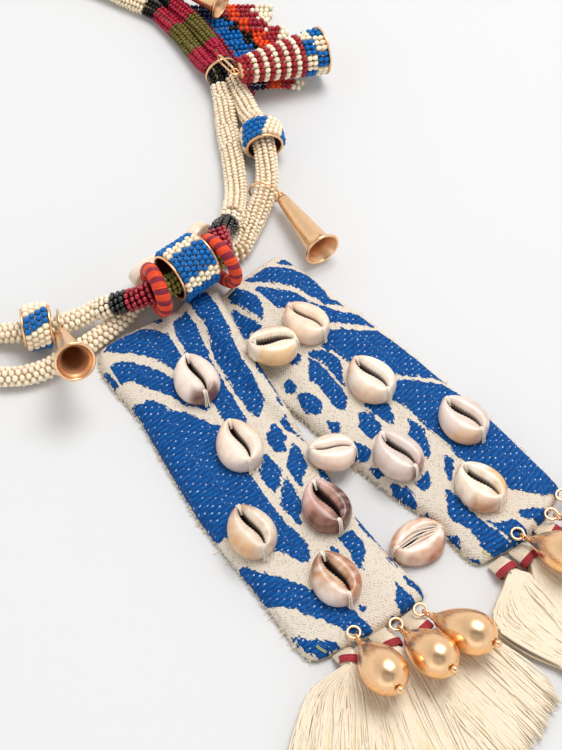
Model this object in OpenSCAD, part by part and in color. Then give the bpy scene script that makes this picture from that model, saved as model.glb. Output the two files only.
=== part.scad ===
// Shell and bead necklace, lying flat: two beaded strands that run all the way round,
// a raised front group of rings and tubes, two woven pads sewn with cowries, and
// drops and tassels along the pads' lower hems.
// Frame: millimetres, Z up, the strands and pads rest on Z = 0.
// X runs along the front group, Y points from the pads towards the back of the neck.

/* [Strands] */
// Diameter of the plain beaded strands
strand_d = 7.4; // [7:0.1:7.5]
// Diameter of the strands beside the right cuff
right_strand_d = 8; // [7.6:0.1:8.1]
// Diameter of each strand where the gathering ring squeezes the pair
gathered_d = 5.2; // [4.8:0.1:5.3]

/* [Front group] */
// Outer diameter of the large beaded tube
tube_d = 20.6; // [20:0.1:20.8]
// Length of the large beaded tube
tube_l = 14; // [12:0.5:14]
// Outer diameter of the left wound ring
ring_left_d = 20; // [19.4:0.1:20]
// Outer diameter of the right wound ring
ring_right_d = 22; // [21.6:0.1:22]
// Thickness of the left wound ring
ring_left_t = 5.2; // [4.6:0.1:5.2]
// Thickness of the right wound ring
ring_right_t = 4.6; // [4:0.1:4.6]
// Outer diameter of the two beaded cuffs
cuff_d = 16.8; // [16.4:0.1:16.8]
// Length of the two beaded cuffs
cuff_l = 8.4; // [7.4:0.1:8.4]
// Thickness of the bead work that covers tubes and cuffs
skin_t = 1.8; // [1.5:0.1:1.8]
// Wall of the metal liners
liner_t = 0.6; // [0.5:0.1:0.7]

/* [Woven pads] */
// Length of the left pad from its top edge to its hem
pad_l = 138; // [136:0.5:138.5]
// Full thickness of a pad
pad_h = 6.2; // [5.6:0.1:6.2]
// Height of a pad's side seam
seam_h = 1.8; // [1.6:0.1:2]
// Radius of a pad's corners, seen from above
corner_r = 4; // [3:0.5:5]

/* [Cowries] */
// Length of a cowrie
cowrie_l = 18.4; // [17.5:0.1:18.5]
// Width of a cowrie
cowrie_w = 15.4; // [14.5:0.1:15.5]
// Height of a cowrie whose back is ground flat
cowrie_h = 6.6; // [6:0.1:6.8]
// Width of the slit in the middle
slit_w = 2.2; // [1.6:0.1:2.4]

/* [Metal cones, bell and drops] */
// Length of a trumpet cone
cone_l = 28.5; // [27:0.5:28.5]
// Diameter of a trumpet cone's mouth
cone_mouth_d = 13.8; // [13:0.1:14]
// Diameter of a trumpet cone's narrow end
cone_tip_d = 4.2; // [4:0.1:4.4]
// Wall of the cones
cone_t = 0.7; // [0.6:0.1:0.8]
// Length of the beaded bell
bell_l = 33.6; // [32:0.2:34]
// Outer diameter of the bell's mouth
bell_mouth_d = 18.6; // [18:0.1:18.6]
// Outer diameter of the bell's narrow end
bell_tip_d = 10; // [9.6:0.1:10.2]
// Length of a gold drop without its pin
drop_l = 23; // [22:0.5:23]
// Largest diameter of a gold drop
drop_d = 14; // [13.6:0.1:14]
// Wire of the gathering ring
wire_d = 1; // [0.8:0.1:1]
// Wire of the jump rings and of the rings that hang on the strands
jump_wire_d = 0.9; // [0.8:0.1:0.9]

/* [Tassels and fringe] */
// Diameter of a tassel's bound neck
tassel_neck_d = 7.6; // [7.2:0.1:7.8]
// Number of locks in a tassel
tassel_locks = 10; // [8:1:11]
// Thickness of a lock of thread
lock_d = 3.4; // [3:0.1:3.4]
// Diameter of a fringe strand
fringe_d = 2.2; // [2:0.1:2.3]

/* [Hidden] */
COWRIES = 15;
DROPS = 6;
TASSELS = 6;
SIDES = ["left", "right", "top"];

$fn = 48;
gap = 0.3;
strand_sides = 10;
ivory = "#efe6cf";
gold = "#e3b27a";

// Strand routes, a row for each ring of the sweep: x, y, rise above lying flat, diameter.
route_center = [
    [-34.9, 3.1, 5.6, strand_d], [-29.5, -0.4, 7.9, strand_d], [-24, -4, 10.1, strand_d],
    [-17, -6.8, 11.9, strand_d], [-10, -7.4, 10.8, strand_d], [-3, -7.6, 10.4, strand_d],
    [3, -8.6, 11, strand_d], [7.2, -9, 11.6, strand_d], [9.9, -7.8, 11.9, strand_d],
    [12.2, -5, 11.8, strand_d], [13.8, -1.6, 11.3, strand_d], [15.8, 1.2, 10.2, strand_d],
    [19, 3.2, 8.2, strand_d], [23, 5.2, 6, strand_d], [26.3, 7.7, 4.8, strand_d]];
route_a_left = [
    [-35.8, 3.8, 4.9, strand_d], [-40, 5.1, 3.5, strand_d], [-45, 6.4, 2.9, strand_d],
    [-50, 8, 3, strand_d], [-56, 10.7, 3.6, strand_d], [-61, 13.5, 2.7, strand_d],
    [-66, 18, 1.2, strand_d], [-72, 24, 0, strand_d], [-84, 36, 0, strand_d],
    [-94, 52, 0, strand_d], [-100, 72, 0, strand_d], [-101, 96, 0, strand_d],
    [-97, 122, 0, strand_d], [-86, 147, 0, strand_d], [-68, 168, 0, strand_d],
    [-46, 182, 0, strand_d], [-32, 188.6, 0.9, 6.2], [-26.6, 190.6, 2, 4.8],
    [-22.7, 191.1, 2.6, 4.6]];
route_b_left = [
    [-3.5, 0.1, 0, strand_d], [-15, 1.2, 0, strand_d], [-22, 0.6, 0, strand_d],
    [-29, -1.6, 0, strand_d], [-37, -3, 0, strand_d], [-46, -3.4, 0, strand_d],
    [-55, -3.6, 0, strand_d], [-63, -3, 0, strand_d], [-71, 0.2, 0, strand_d],
    [-80, 8, 0, strand_d], [-94, 26, 0, strand_d], [-105, 48, 0, strand_d],
    [-110, 72, 0, strand_d], [-110, 100, 0, strand_d], [-104, 130, 0, strand_d],
    [-90, 157, 0, strand_d], [-70, 177, 0, strand_d], [-46, 190.6, 0, strand_d],
    [-32, 195.4, 0.9, 6.2], [-26.6, 196.4, 2, 4.8], [-22.7, 196.5, 2.6, 4.6]];
route_a_right = [
    [27.2, 8.6, 4.2, right_strand_d], [31, 12.4, 2.5, right_strand_d],
    [35, 17, 1, right_strand_d], [40, 24, 0.2, right_strand_d],
    [46.2, 34.1, 0, right_strand_d], [52.6, 45.8, 0, right_strand_d],
    [58.1, 55, 0.6, 7.4], [61.7, 62.4, 2, 6.2], [64.2, 69, 4.3, gathered_d],
    [65.2, 76, 2.2, 6.2], [66.4, 84, 0.6, 6.6], [68, 97, 0, 6.8], [68.2, 109, 0, 6.6],
    [67.4, 115, 0, 6.6], [63.4, 125, 0, 7], [56.4, 143, 0, strand_d], [45, 162, 0, strand_d],
    [26, 178, 0, strand_d], [8, 186.6, 0, strand_d], [-0.6, 190.4, 1.8, 5.2],
    [-5.3, 191.1, 2.6, 4.6]];
route_b_right = [
    [-2.6, 0.1, 0, strand_d], [8, 0.8, 0, strand_d], [12, 0.4, 0, strand_d],
    [16.5, -1.6, 0, strand_d], [21.5, -2.6, 0, 7.6], [27.5, 0.8, 0, right_strand_d],
    [34.5, 4.8, 0.6, right_strand_d], [40.6, 8.5, 1.5, right_strand_d],
    [46.5, 13.4, 1.9, right_strand_d], [51.8, 20.2, 2.4, right_strand_d],
    [56.4, 27.4, 3.6, right_strand_d], [60, 35.4, 3.6, right_strand_d],
    [62.8, 45, 1.6, right_strand_d], [66, 53.4, 1, 7.4],
    [68.2, 61.4, 2.2, 6.2], [69.6, 67.9, 4.3, gathered_d], [71.9, 75.5, 2.2, 6.4],
    [73.7, 84, 0.8, 7], [75.4, 97, 0.4, 7.2], [75.5, 109, 0.6, 7], [75.2, 117, 1.5, 7],
    [74.4, 124, 1.8, 7], [72.8, 132, 1, 7], [66.8, 147, 0, strand_d],
    [51.6, 168, 0, strand_d], [29, 186, 0, strand_d], [9, 194.6, 0.6, 6.6],
    [-0.6, 196.6, 1.8, 5.2], [-5.3, 196.5, 2.6, 4.6]];

// The front group: centre and heading of each ring and tube.
tube_at = [-3.2, -6, 16.7];
tube_heading = 2;
ring_left_at = [-17, -6.6, 15.6];
ring_left_heading = -12;
ring_right_at = [7.9, -9.4, 14.7];
ring_right_heading = 6;
cuff_left_at = [-55.8, 10.6, cuff_d / 2];
cuff_left_heading = -27;
cuff_right_at = [58.1, 30.8, cuff_d / 2];
cuff_right_heading = 63;

// The gathering ring, and the bell with the long link that it hangs from.
gather_at = [66.9, 68.45, 6.9];
gather_heading = 79;
gather_ring_d = 12.4;
bell_tip_at = [68.7, 58.8, 14.1];
bell_heading = -15.5;
bell_pitch = -4.2;
bell_link_at = [66.8, 64.6, 13.75];
bell_link_l = 10.2;
bell_link_w = 3.8;

// Pads: where each one's own frame starts and how it is turned.
pad_left_at = [-19.7, -9];
pad_left_turn = -6.2;
pad_right_at = [13.7, -13.5];
pad_right_turn = 5.2;
// Rows: distance from the top edge, left edge, right edge.
pad_left_outline = [
    [0, -24.2, 24], [9, -26.7, 23], [17, -26.5, 22.2], [25, -25.4, 21.2], [33, -24.8, 20.5],
    [55, -26.3, 19.2], [76, -27.2, 18.4], [90, -26.5, 17.4], [103, -25.3, 17.2],
    [116, -24.6, 18.2], [131, -23.9, 20.4], [140, -22, 21.4]];
pad_right_outline = [
    [0, -17, 18.5], [15, -21, 20], [28, -23.4, 20.3], [38, -24.4, 21.6], [47, -24.3, 22.3],
    [56, -23.4, 22.4], [82, -23.2, 22.6], [98, -22.2, 23], [107, -20.6, 22.6], [114, -19.4, 22],
    [128, -20.8, 21], [140, -20.4, 19.5]];
// Rows: distance from the left pad's top edge, width of the strip that lies on the right pad.
overlap_width = [[0, 9], [5, 8.6], [17, 6.2], [30, 4.4], [40, 3.2], [51, 1.6], [58, 0.4], [68, -8]];
// Rows: distance from the right pad's top edge, where the left pad's edge crosses it.
overlap_edge = [[0, -9.5], [15, -15.2], [28, -19.4], [38, -21.5], [49, -23.3], [57, -26], [70, -36]];
tuck_h = 2.9;
tuck_ramp = 7;
hem_bow = [1.4, 3.3];
hem_share = 0.36;
pad_right_l = pad_l - 2;
edge_round = 12;
edge_steps = [0, 1, 3.4, 7.4, 12];
pad_row_pitch = 9.5;

// Cowries, a row each: x, y, height of the flat back, heading, roll about the long axis, scale.
cowrie_rows = [
    [-25.7, -41.1, pad_h + gap, -104, 0, 1],
    [-29.9, -70.7, pad_h + gap, -104, 0, 1],
    [-46.1, -98.4, pad_h + gap, -98, 0, 1],
    [-21.6, -106, pad_h + gap, -98, 0, 1],
    [-35.4, -127.7, pad_h + gap, -98, 0, 1],
    [2.6, -47, 8, -35, 0, 0.95],
    [-6.9, -91, 5.6, -38, 0, 0.86],
    [-4.5, -131.8, 0.2, -10, 0, 1],
    [18.2, -45.6, pad_h + gap, -80, 0, 0.95],
    [20.9, -77.5, pad_h + gap, -88, 0, 1],
    [34.9, -108.6, pad_h + gap, -86, 0, 1],
    [8.9, -105.8, pad_h + gap, -88, 0, 1],
    [22.4, -131.1, pad_h + gap, -86, 0, 1],
    [11.2, 6.7, 6.4, 20, -90, 0.8],
    [-10.9, 4.9, 6.5, 0, -90, 0.82]];
cowrie_sections = 18;
slit_share = 0.8;

// Drops, a row each: x, y, z of the pointed end, heading, pitch.
drop_rows = [
    [-42.2, -148.4, 7.1, -98.6, 22],
    [-29, -153.9, 5.7, -89, 26],
    [-19.1, -155, 6.6, -71.7, 18],
    [22.7, -154.1, 6.8, -72, 20],
    [37, -155.1, 6.2, -62, 21],
    [46, -151, 5.9, -38, 22]];
drop_ring_d = 4;
eye_d = 3;
eye_wire_d = 0.8;

// Cones, a row each: x, y, z of the centre of the ring round the strand, heading of the
// strand, place of the eye round that ring, heading and pitch of the cone, roll of its eye.
cone_rows = [
    [-49, 6.95, 6.9, -27, 145, -108.5, 34, 0],
    [43.4, 10.7, 6.1, 41, 180, -98, 3.6, 0],
    [74.3, 123.4, 6.1, 97, 100, -66.5, -3.6, 90]];
strand_ring_d = 11.2;

// Tassels, a row each: x and y of the bound neck, where the outermost locks on the left
// and on the right end, how far each side swells, and the reach of the head to the hem.
tassel_rows = [
    [-47.3, -150.2, -85, -172, -62, -197, 4, 1.5, 4],
    [-34.4, -154, -58, -200, -38, -206, 1.5, 3, 5.8],
    [-23.2, -156.3, -33, -207, -5.6, -197, 2.2, 4, 7],
    [11.3, -157, 7, -200, 13.3, -207, 8.6, 0.7, 4.2],
    [19.8, -158.6, 18.8, -207.5, 33, -206.5, 1.1, 2.8, 5.4],
    [31.6, -157, 37.6, -206, 56, -197, 2.3, 4, 5]];
tassel_neck_l = 3.4;
neck_squash = 0.8;
lock_flat_z = 1.9;

// Fringe, a row for each bunch: y where it leaves the strand, x and y of the tip, and
// the number of strands side by side.
fringe_rows = [
    [104.4, 104.2, 86.6, 4], [95, 99.6, 81.2, 3], [87.4, 102.8, 74, 3],
    [80.2, 100.2, 65.3, 3], [73, 96.6, 58.3, 3], [60, 90, 47.8, 2]];
// Rows: y, and x of the header that the fringe hangs from.
fringe_header = [[56, 72.6], [70, 76.9], [79, 79.3], [94, 80.9], [110, 80.8]];
fringe_header_d = 1.9;

// Linear lookup of column c in a table whose first column rises.
function row_before(table, s, i = 0) =
    i >= len(table) - 2 || table[i + 1][0] > s ? i : row_before(table, s, i + 1);
function column(table, s, c) =
    let (i = row_before(table, s), low = table[i], high = table[i + 1])
    low[c] + (high[c] - low[c]) * (s - low[0]) / (high[0] - low[0]);
function clamp01(t) = max(0, min(1, t));
function smooth(t) = let (u = clamp01(t)) u * u * (3 - 2 * u);
function bulge(d) = sqrt(1 - pow(1 - clamp01(d / edge_round), 2));

// A tube swept along a route of x, y, rise, diameter rows.
function route_point(row) = [row[0], row[1], row[2] + row[3] / 2];
function route_tangent(route, i) =
    let (d = route_point(route[min(i + 1, len(route) - 1)]) - route_point(route[max(i - 1, 0)]))
    d / norm(d);
function route_ring(route, i) =
    let (t = route_tangent(route, i), side = cross(t, [0, 0, 1]) / norm(cross(t, [0, 0, 1])),
         up = cross(side, t), r = route[i][3] / 2)
    [for (k = [0:strand_sides - 1]) let (a = 360 * k / strand_sides + 18)
        route_point(route[i]) + r * (cos(a) * side + sin(a) * up)];

module swept(route) {
    last = len(route) - 1;
    n = strand_sides;
    points = [for (i = [0:last]) each route_ring(route, i)];
    skin = [for (i = [0:last - 1]) for (k = [0:n - 1]) let (a = i * n + k, b = i * n + (k + 1) % n)
        each [[a, b, a + n], [b, b + n, a + n]]];
    ends = [[for (k = [n - 1:-1:0]) k], [for (k = [0:n - 1]) last * n + k]];
    polyhedron(points, concat(ends, skin));
}

// A ring of round wire about the local Z axis.
module wire_ring(ring_d, thick) {
    rotate_extrude() translate([ring_d / 2, 0]) circle(d = thick, $fn = 24);
}

// Turns local Z to the horizontal heading, so that rings and tubes lie on their side.
module facing(at, heading, pitch = 0) {
    translate(at) rotate([0, 90 - pitch, heading]) children();
}

module center_rope() {
    color("#6b1424") swept(route_center);
}

module strand_a_left() {
    color(ivory) swept(route_a_left);
}

module strand_a_right() {
    color(ivory) swept(route_a_right);
}

module strand_b_left() {
    color(ivory) swept(route_b_left);
}

module strand_b_right() {
    color(ivory) swept(route_b_right);
}

// Plain barrel that joins both strands at the back.
module clasp() {
    clasp_l = 16;
    clasp_d = 10;
    color(gold) facing([-14, 193.8, clasp_d / 2], 0)
        rotate_extrude() polygon([[0, -clasp_l / 2], [clasp_d / 2 - 1, -clasp_l / 2],
            [clasp_d / 2, -clasp_l / 2 + 1], [clasp_d / 2, clasp_l / 2 - 1],
            [clasp_d / 2 - 1, clasp_l / 2], [0, clasp_l / 2]]);
}

module thread_ring_left() {
    color("#d8401c") facing(ring_left_at, ring_left_heading)
        wire_ring(ring_left_d - ring_left_t, ring_left_t);
}

module thread_ring_right() {
    color("#d8401c") facing(ring_right_at, ring_right_heading)
        wire_ring(ring_right_d - ring_right_t, ring_right_t);
}

// Metal sleeve with a small rolled lip at each end, under a skin of beads.
module sleeve(outer_d, length) {
    r = outer_d / 2 - skin_t;
    lip_d = 1;
    difference() {
        union() {
            cylinder(r = r, h = length + lip_d, center = true);
            for (end = [-1, 1]) translate([0, 0, end * (length + lip_d) / 2]) wire_ring(2 * r, lip_d);
        }
        cylinder(r = r - liner_t, h = length + 4 * lip_d, center = true);
    }
}

module bead_skin(outer_d, length) {
    r = outer_d / 2;
    inner = r - skin_t + gap / 2;
    end = length / 2 - gap;
    round_r = skin_t / 2;
    rotate_extrude() polygon([[inner, -end], [r - round_r, -end], [r, -end + round_r],
        [r, end - round_r], [r - round_r, end], [inner, end]]);
}

module tube_liner() {
    color(gold) facing(tube_at, tube_heading) sleeve(tube_d, tube_l);
}

module tube_beads() {
    color("#1b6fb8") facing(tube_at, tube_heading) bead_skin(tube_d, tube_l);
}

module cuff_left_liner() {
    color(gold) facing(cuff_left_at, cuff_left_heading) sleeve(cuff_d, cuff_l);
}

module cuff_left_beads() {
    color(ivory) facing(cuff_left_at, cuff_left_heading) bead_skin(cuff_d, cuff_l);
}

module cuff_right_liner() {
    color(gold) facing(cuff_right_at, cuff_right_heading) sleeve(cuff_d, cuff_l);
}

module cuff_right_beads() {
    color(ivory) facing(cuff_right_at, cuff_right_heading) bead_skin(cuff_d, cuff_l);
}

module gathering_ring() {
    color(gold) facing(gather_at, gather_heading) wire_ring(gather_ring_d, wire_d);
}

// Long link of wire in the plane of local X and Z, centred on the origin.
module long_link(length, width, thick) {
    bend = width / 2;
    straight = length - width;
    for (end = [-1, 1]) {
        translate([end * straight / 2, 0, 0]) rotate([90, -90 * end, 0])
            rotate_extrude(angle = 180) translate([bend, 0]) circle(d = thick, $fn = 24);
        translate([0, 0, end * bend]) rotate([0, 90, 0]) cylinder(d = thick, h = straight, center = true);
    }
}

module bell_link() {
    color(gold) translate(bell_link_at) rotate([0, 0, 90])
        long_link(bell_link_l, bell_link_w, jump_wire_d);
}

// An eye and its stem, along local X, for a piece that hangs from a ring.
stem_l = eye_d / 2 + 0.4;

module eye_and_stem() {
    wire_ring(eye_d, eye_wire_d);
    translate([eye_d / 2, 0, 0]) rotate([0, 90, 0]) cylinder(d = eye_wire_d, h = 0.8);
}

// Hollow bell of metal with an eye; the beads cover it like a sleeve.
bell_skin = 2;
function bell_r(t) = bell_tip_d / 2 + (bell_mouth_d - bell_tip_d) / 2 * pow(t, 0.85);
bell_steps = [0, 0.12, 0.3, 0.5, 0.7, 0.85, 1];

module bell_liner() {
    inner = [for (t = bell_steps) [bell_r(t) - bell_skin - liner_t, max(t * bell_l, 1)]];
    outer = [for (k = [len(bell_steps) - 1:-1:0]) let (t = bell_steps[k])
        [bell_r(t) - bell_skin, t * bell_l]];
    rim_r = bell_mouth_d / 2 - bell_skin - liner_t;
    color(gold) translate(bell_tip_at) rotate([0, -bell_pitch, bell_heading]) {
        translate([-stem_l, 0, 0]) eye_and_stem();
        rotate([0, 90, 0]) rotate_extrude()
            polygon(concat([[0, 1]], inner, [[rim_r, bell_l + 1], [rim_r + bell_skin + liner_t, bell_l + 1],
                [rim_r + bell_skin + liner_t, bell_l + gap / 2]], [[rim_r + liner_t, bell_l + gap / 2]],
                outer, [[0, 0]]));
    }
}

module bell_beads() {
    outer = [for (t = bell_steps) [bell_r(t), 0.2 + t * (bell_l - 0.4)]];
    inner = [for (k = [len(bell_steps) - 1:-1:0]) let (t = bell_steps[k])
        [bell_r(t) - bell_skin + gap, 0.2 + t * (bell_l - 0.4)]];
    color("#b3283c") translate(bell_tip_at) rotate([0, -bell_pitch, bell_heading])
        rotate([0, 90, 0]) rotate_extrude() polygon(concat(outer, inner));
}

// Trumpet cone, hollow and open at the mouth, with an eye at the closed end.
function cone_profile(inset) = [
    [cone_tip_d / 2 - inset, 0], [cone_tip_d / 2 + 2.6 - inset, 0.87 * cone_l],
    [cone_tip_d / 2 + 3.4 - inset, 0.94 * cone_l], [cone_mouth_d / 2 - 0.9 - inset, 0.985 * cone_l],
    [cone_mouth_d / 2 - 0.5 - inset, cone_l]];

module trumpet(i) {
    row = cone_rows[i];
    ring_r = strand_ring_d / 2 + 0.15;
    eye_at = [row[0], row[1], row[2]]
        + ring_r * [-sin(row[3]) * cos(row[4]), cos(row[3]) * cos(row[4]), sin(row[4])];
    outer = cone_profile(0);
    inner = cone_profile(cone_t);
    color(gold) translate(eye_at) rotate([0, -row[6], row[5]]) {
        rotate([row[7], 0, 0]) eye_and_stem();
        translate([stem_l, 0, 0]) rotate([0, 90, 0]) rotate_extrude() union() {
            polygon(concat([[0, 0]], outer, [for (k = [len(inner) - 1:-1:1]) inner[k]],
                [[cone_tip_d / 2 - cone_t, 1.2], [0, 1.2]]));
            translate([cone_mouth_d / 2 - 0.5, cone_l]) circle(d = 1, $fn = 20);
        }
    }
}

module cone_left() {
    trumpet(0);
}

module cone_right() {
    trumpet(1);
}

module cone_top() {
    trumpet(2);
}

module strand_ring(i) {
    row = cone_rows[i];
    color(gold) facing([row[0], row[1], row[2]], row[3]) wire_ring(strand_ring_d, jump_wire_d);
}

module hanger_left() {
    strand_ring(0);
}

module hanger_right() {
    strand_ring(1);
}

module hanger_top() {
    strand_ring(2);
}

// Drop: a tear of metal on a pin with a ball end, hung from an eye.
function tear(a) = [drop_d / 2 * sin(a) * pow(sin(a / 2), 1.15), drop_l * (1 - cos(a)) / 2];
tear_scale = drop_d / 2 / max([for (a = [0:6:180]) tear(a)[0]]);

module gold_drop(i) {
    row = drop_rows[i];
    ball_d = 2.6;
    color(gold) translate([row[0], row[1], row[2]]) rotate([0, -row[4], row[3]]) {
        translate([0.3 - stem_l, 0, 0]) rotate([90, 0, 0]) eye_and_stem();
        rotate([0, 90, 0]) rotate_extrude() polygon(concat(
            [[0, 0], [0.9, 0], [1.3, 0.5]],
            [for (a = [36:9:171]) [tear(a)[0] * tear_scale, tear(a)[1]]],
            [[0.4, drop_l], [0.4, drop_l + 1], [0, drop_l + 1]]));
        translate([drop_l + 1, 0, 0]) sphere(d = ball_d, $fn = 24);
    }
}

module drop_ring(i) {
    row = drop_rows[i];
    back = (stem_l - 0.3) * cos(row[4]) + drop_ring_d / 2 + 0.4;
    color(gold) translate([row[0] - back * cos(row[3]), row[1] - back * sin(row[3]),
                           row[2] - (stem_l - 0.3) * sin(row[4])])
        wire_ring(drop_ring_d, jump_wire_d);
}

// Pads: a padded cloth strip on a grid of rows along its length and columns across it.
function pad_left_edge(outline, s, length) = column(outline, s, 1) + corner_inset(s, length);
function pad_right_edge(outline, s, length) = column(outline, s, 2) - corner_inset(s, length);
function corner_inset(s, length) =
    let (d = clamp01(min(s, length - s) / corner_r)) corner_r * (1 - sqrt(1 - pow(1 - d, 2)));
function pad_thickness(d_side, d_end) =
    seam_h + (pad_h - seam_h) * bulge(d_side) * (hem_share + (1 - hem_share) * bulge(d_end));

function pad_rows(length) =
    let (inner = floor((length - 2 * edge_round) / pad_row_pitch), flat = length - 2 * edge_round)
    concat(edge_steps, [for (k = [1:inner - 1]) edge_round + k * flat / inner],
        [for (k = [len(edge_steps) - 1:-1:0]) length - edge_steps[k]]);

// Distances across a pad that is w wide at this row.
function pad_columns(w) = concat(
    edge_steps, [for (k = [1:3]) edge_round + k * (w - 2 * edge_round) / 4],
    [for (k = [len(edge_steps) - 1:-1:0]) w - edge_steps[k]]);

// Lift of the left pad where it lies on the right one, and the right one's height there.
function left_lift(x, s) =
    let (w = column(overlap_width, s, 1), start = column(pad_left_outline, s, 2) - w - tuck_ramp - 0.8)
    (tuck_h + gap + 0.1) * smooth((x - start) / tuck_ramp) * smooth((70 - s) / 12);
function right_cap(x, s) = tuck_h + (pad_h - tuck_h) * smooth((x - column(overlap_edge, s, 1) - 1) / 9);

module pad(outline, length, bow, under) {
    rows = pad_rows(length);
    n = len(pad_columns(40));
    m = len(rows);
    grid = [for (s = rows) let (left = pad_left_edge(outline, s, length),
                                w = pad_right_edge(outline, s, length) - left)
        [for (d = pad_columns(w)) let (
            x = left + d,
            sag = bow * sin(180 * d / w) * smooth((s - length + 40) / 40),
            thick = pad_thickness(min(d, w - d), min(s, length - s)),
            low = under ? 0 : left_lift(x, s),
            high = under ? min(thick, right_cap(x, s)) : low + thick)
            [x, -s - sag, low, high]]];
    top = [for (row = grid) for (p = row) [p[0], p[1], p[3]]];
    bottom = [for (row = grid) for (p = row) [p[0], p[1], p[2]]];
    size = n * m;
    cells = [for (i = [0:m - 2]) for (j = [0:n - 2]) let (a = i * n + j)
        each [[a, a + 1, a + n], [a + 1, a + n + 1, a + n],
              [size + a, size + a + n, size + a + 1], [size + a + 1, size + a + n, size + a + n + 1]]];
    rim = concat([for (j = [0:n - 1]) j], [for (i = [1:m - 1]) i * n + n - 1],
        [for (j = [n - 2:-1:0]) (m - 1) * n + j], [for (i = [m - 2:-1:1]) i * n]);
    sides = [for (k = [0:len(rim) - 1]) let (a = rim[k], b = rim[(k + 1) % len(rim)])
        each [[a, a + size, b], [b, a + size, b + size]]];
    polyhedron(concat(top, bottom), concat(cells, sides));
}

module panel_left() {
    color("#2f6fb0") translate([pad_left_at[0], pad_left_at[1], 0]) rotate([0, 0, pad_left_turn])
        pad(pad_left_outline, pad_l, hem_bow[0], false);
}

module panel_right() {
    color("#2f6fb0") translate([pad_right_at[0], pad_right_at[1], 0]) rotate([0, 0, pad_right_turn])
        pad(pad_right_outline, pad_right_l, hem_bow[1], true);
}

// Cowrie with its back ground flat: a closed ring of shell round the curved slit.
function shell_outer(a) = [cowrie_l / 2 * cos(a), cowrie_w / 2 * sin(a) * (1 + 0.1 * cos(a))];
function shell_slit(a) =
    let (x = slit_share * cowrie_l / 2 * cos(a))
    [x, slit_w / 2 * sin(a) * (1 + 0.5 * cos(a)) + 0.05 * cowrie_w * sin(200 * x / cowrie_l)];
// Rows: share of the way from the slit to the outer edge, share of the height.
shell_section = [[0, 0], [0.86, 0], [1, 0.34], [0.86, 0.78], [0.5, 1], [0, 0.84]];

module cowrie(i) {
    row = cowrie_rows[i];
    n = len(shell_section);
    points = [for (k = [0:cowrie_sections - 1]) let (a = 360 * k / cowrie_sections,
                                                     outer = shell_outer(a), slit = shell_slit(a))
        for (p = shell_section) let (q = slit + p[0] * (outer - slit)) [q[0], q[1], p[1] * cowrie_h]];
    faces = [for (k = [0:cowrie_sections - 1]) for (j = [0:n - 1]) let (
            a = k * n + j, b = k * n + (j + 1) % n,
            c = (k + 1) % cowrie_sections * n + j, d = (k + 1) % cowrie_sections * n + (j + 1) % n)
        each [[a, b, c], [b, d, c]]];
    color("#f0dfd0") translate([row[0], row[1], row[2]]) rotate([0, 0, row[3]])
        rotate([row[4], 0, 0]) scale(row[5]) polyhedron(points, faces);
}

// A tapering lock from one point to the next, as a chain of hulls.
module lock(path, sizes) {
    for (k = [0:len(path) - 2]) hull() {
        translate(path[k]) sphere(d = sizes[k], $fn = 5);
        translate(path[k + 1]) sphere(d = sizes[k + 1], $fn = 5);
    }
}

// Tassel: a gathered head, its bound neck and a flat fan of locks that swells below it.
module tassel(i) {
    row = tassel_rows[i];
    neck = [row[0], row[1]];
    neck_z = tassel_neck_d * neck_squash / 2 + 0.1;
    left_end = [row[2], row[3]];
    right_end = [row[4], row[5]];
    middle = (left_end + right_end) / 2 - neck;
    heading = atan2(middle[1], middle[0]);
    across = [-sin(heading), cos(heading)];
    head_d = 5.2;
    color(ivory) {
        translate([neck[0], neck[1], neck_z]) scale([1, 1, neck_squash]) rotate([0, 90, heading])
            cylinder(d = tassel_neck_d, h = tassel_neck_l, center = true, $fn = 14);
        hull() for (side = [-1.2, 1.2], reach = [0, row[8] - head_d / 2])
            translate([neck[0] + side, neck[1] + reach, head_d / 2 + 0.2]) sphere(d = head_d, $fn = 8);
        for (k = [0:tassel_locks - 1]) {
            t = k / (tassel_locks - 1);
            end = left_end + t * (right_end - left_end) + (k % 2) * 1.6 * [cos(heading), sin(heading)];
            swell = (t < 0.5 ? -(1 - 2 * t) * row[6] : (2 * t - 1) * row[7]) * across;
            spread = heading + (t - 0.5) * 66;
            shoulder = neck + 4.4 * [cos(spread), sin(spread)];
            belly = neck + 0.28 * (end - neck) + swell;
            waist = neck + 0.55 * (end - neck) + 0.75 * swell;
            lock([[neck[0], neck[1], neck_z], [shoulder[0], shoulder[1], 2.9],
                  [belly[0], belly[1], lock_flat_z + 0.1], [waist[0], waist[1], lock_flat_z],
                  [end[0], end[1], lock_flat_z]],
                [tassel_neck_d * 0.62, 4.6, lock_d, lock_d, lock_d - 0.2]);
        }
    }
}

// Fringe of bead strands, fused to a header that runs along the strand.
module bead_fringe() {
    z = fringe_d / 2 + 0.02;
    color("#b3283c") {
        lock([for (p = fringe_header) [p[1], p[0], z]], [for (p = fringe_header) fringe_header_d]);
        for (row = fringe_rows) for (k = [0:row[3] - 1]) {
            shift = k - (row[3] - 1) / 2;
            root_y = row[0] + shift * 2.9;
            root = [column(fringe_header, root_y, 1), root_y];
            along = ([row[1], row[2]] - root) / norm([row[1], row[2]] - root);
            tip = [row[1], row[2]] + shift * (fringe_d + 0.3) * [-along[1], along[0]]
                + (k % 2) * 1.5 * along;
            lock([[root[0], root[1], z], [tip[0], tip[1], z]], [fringe_d, fringe_d]);
        }
    }
}

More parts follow.
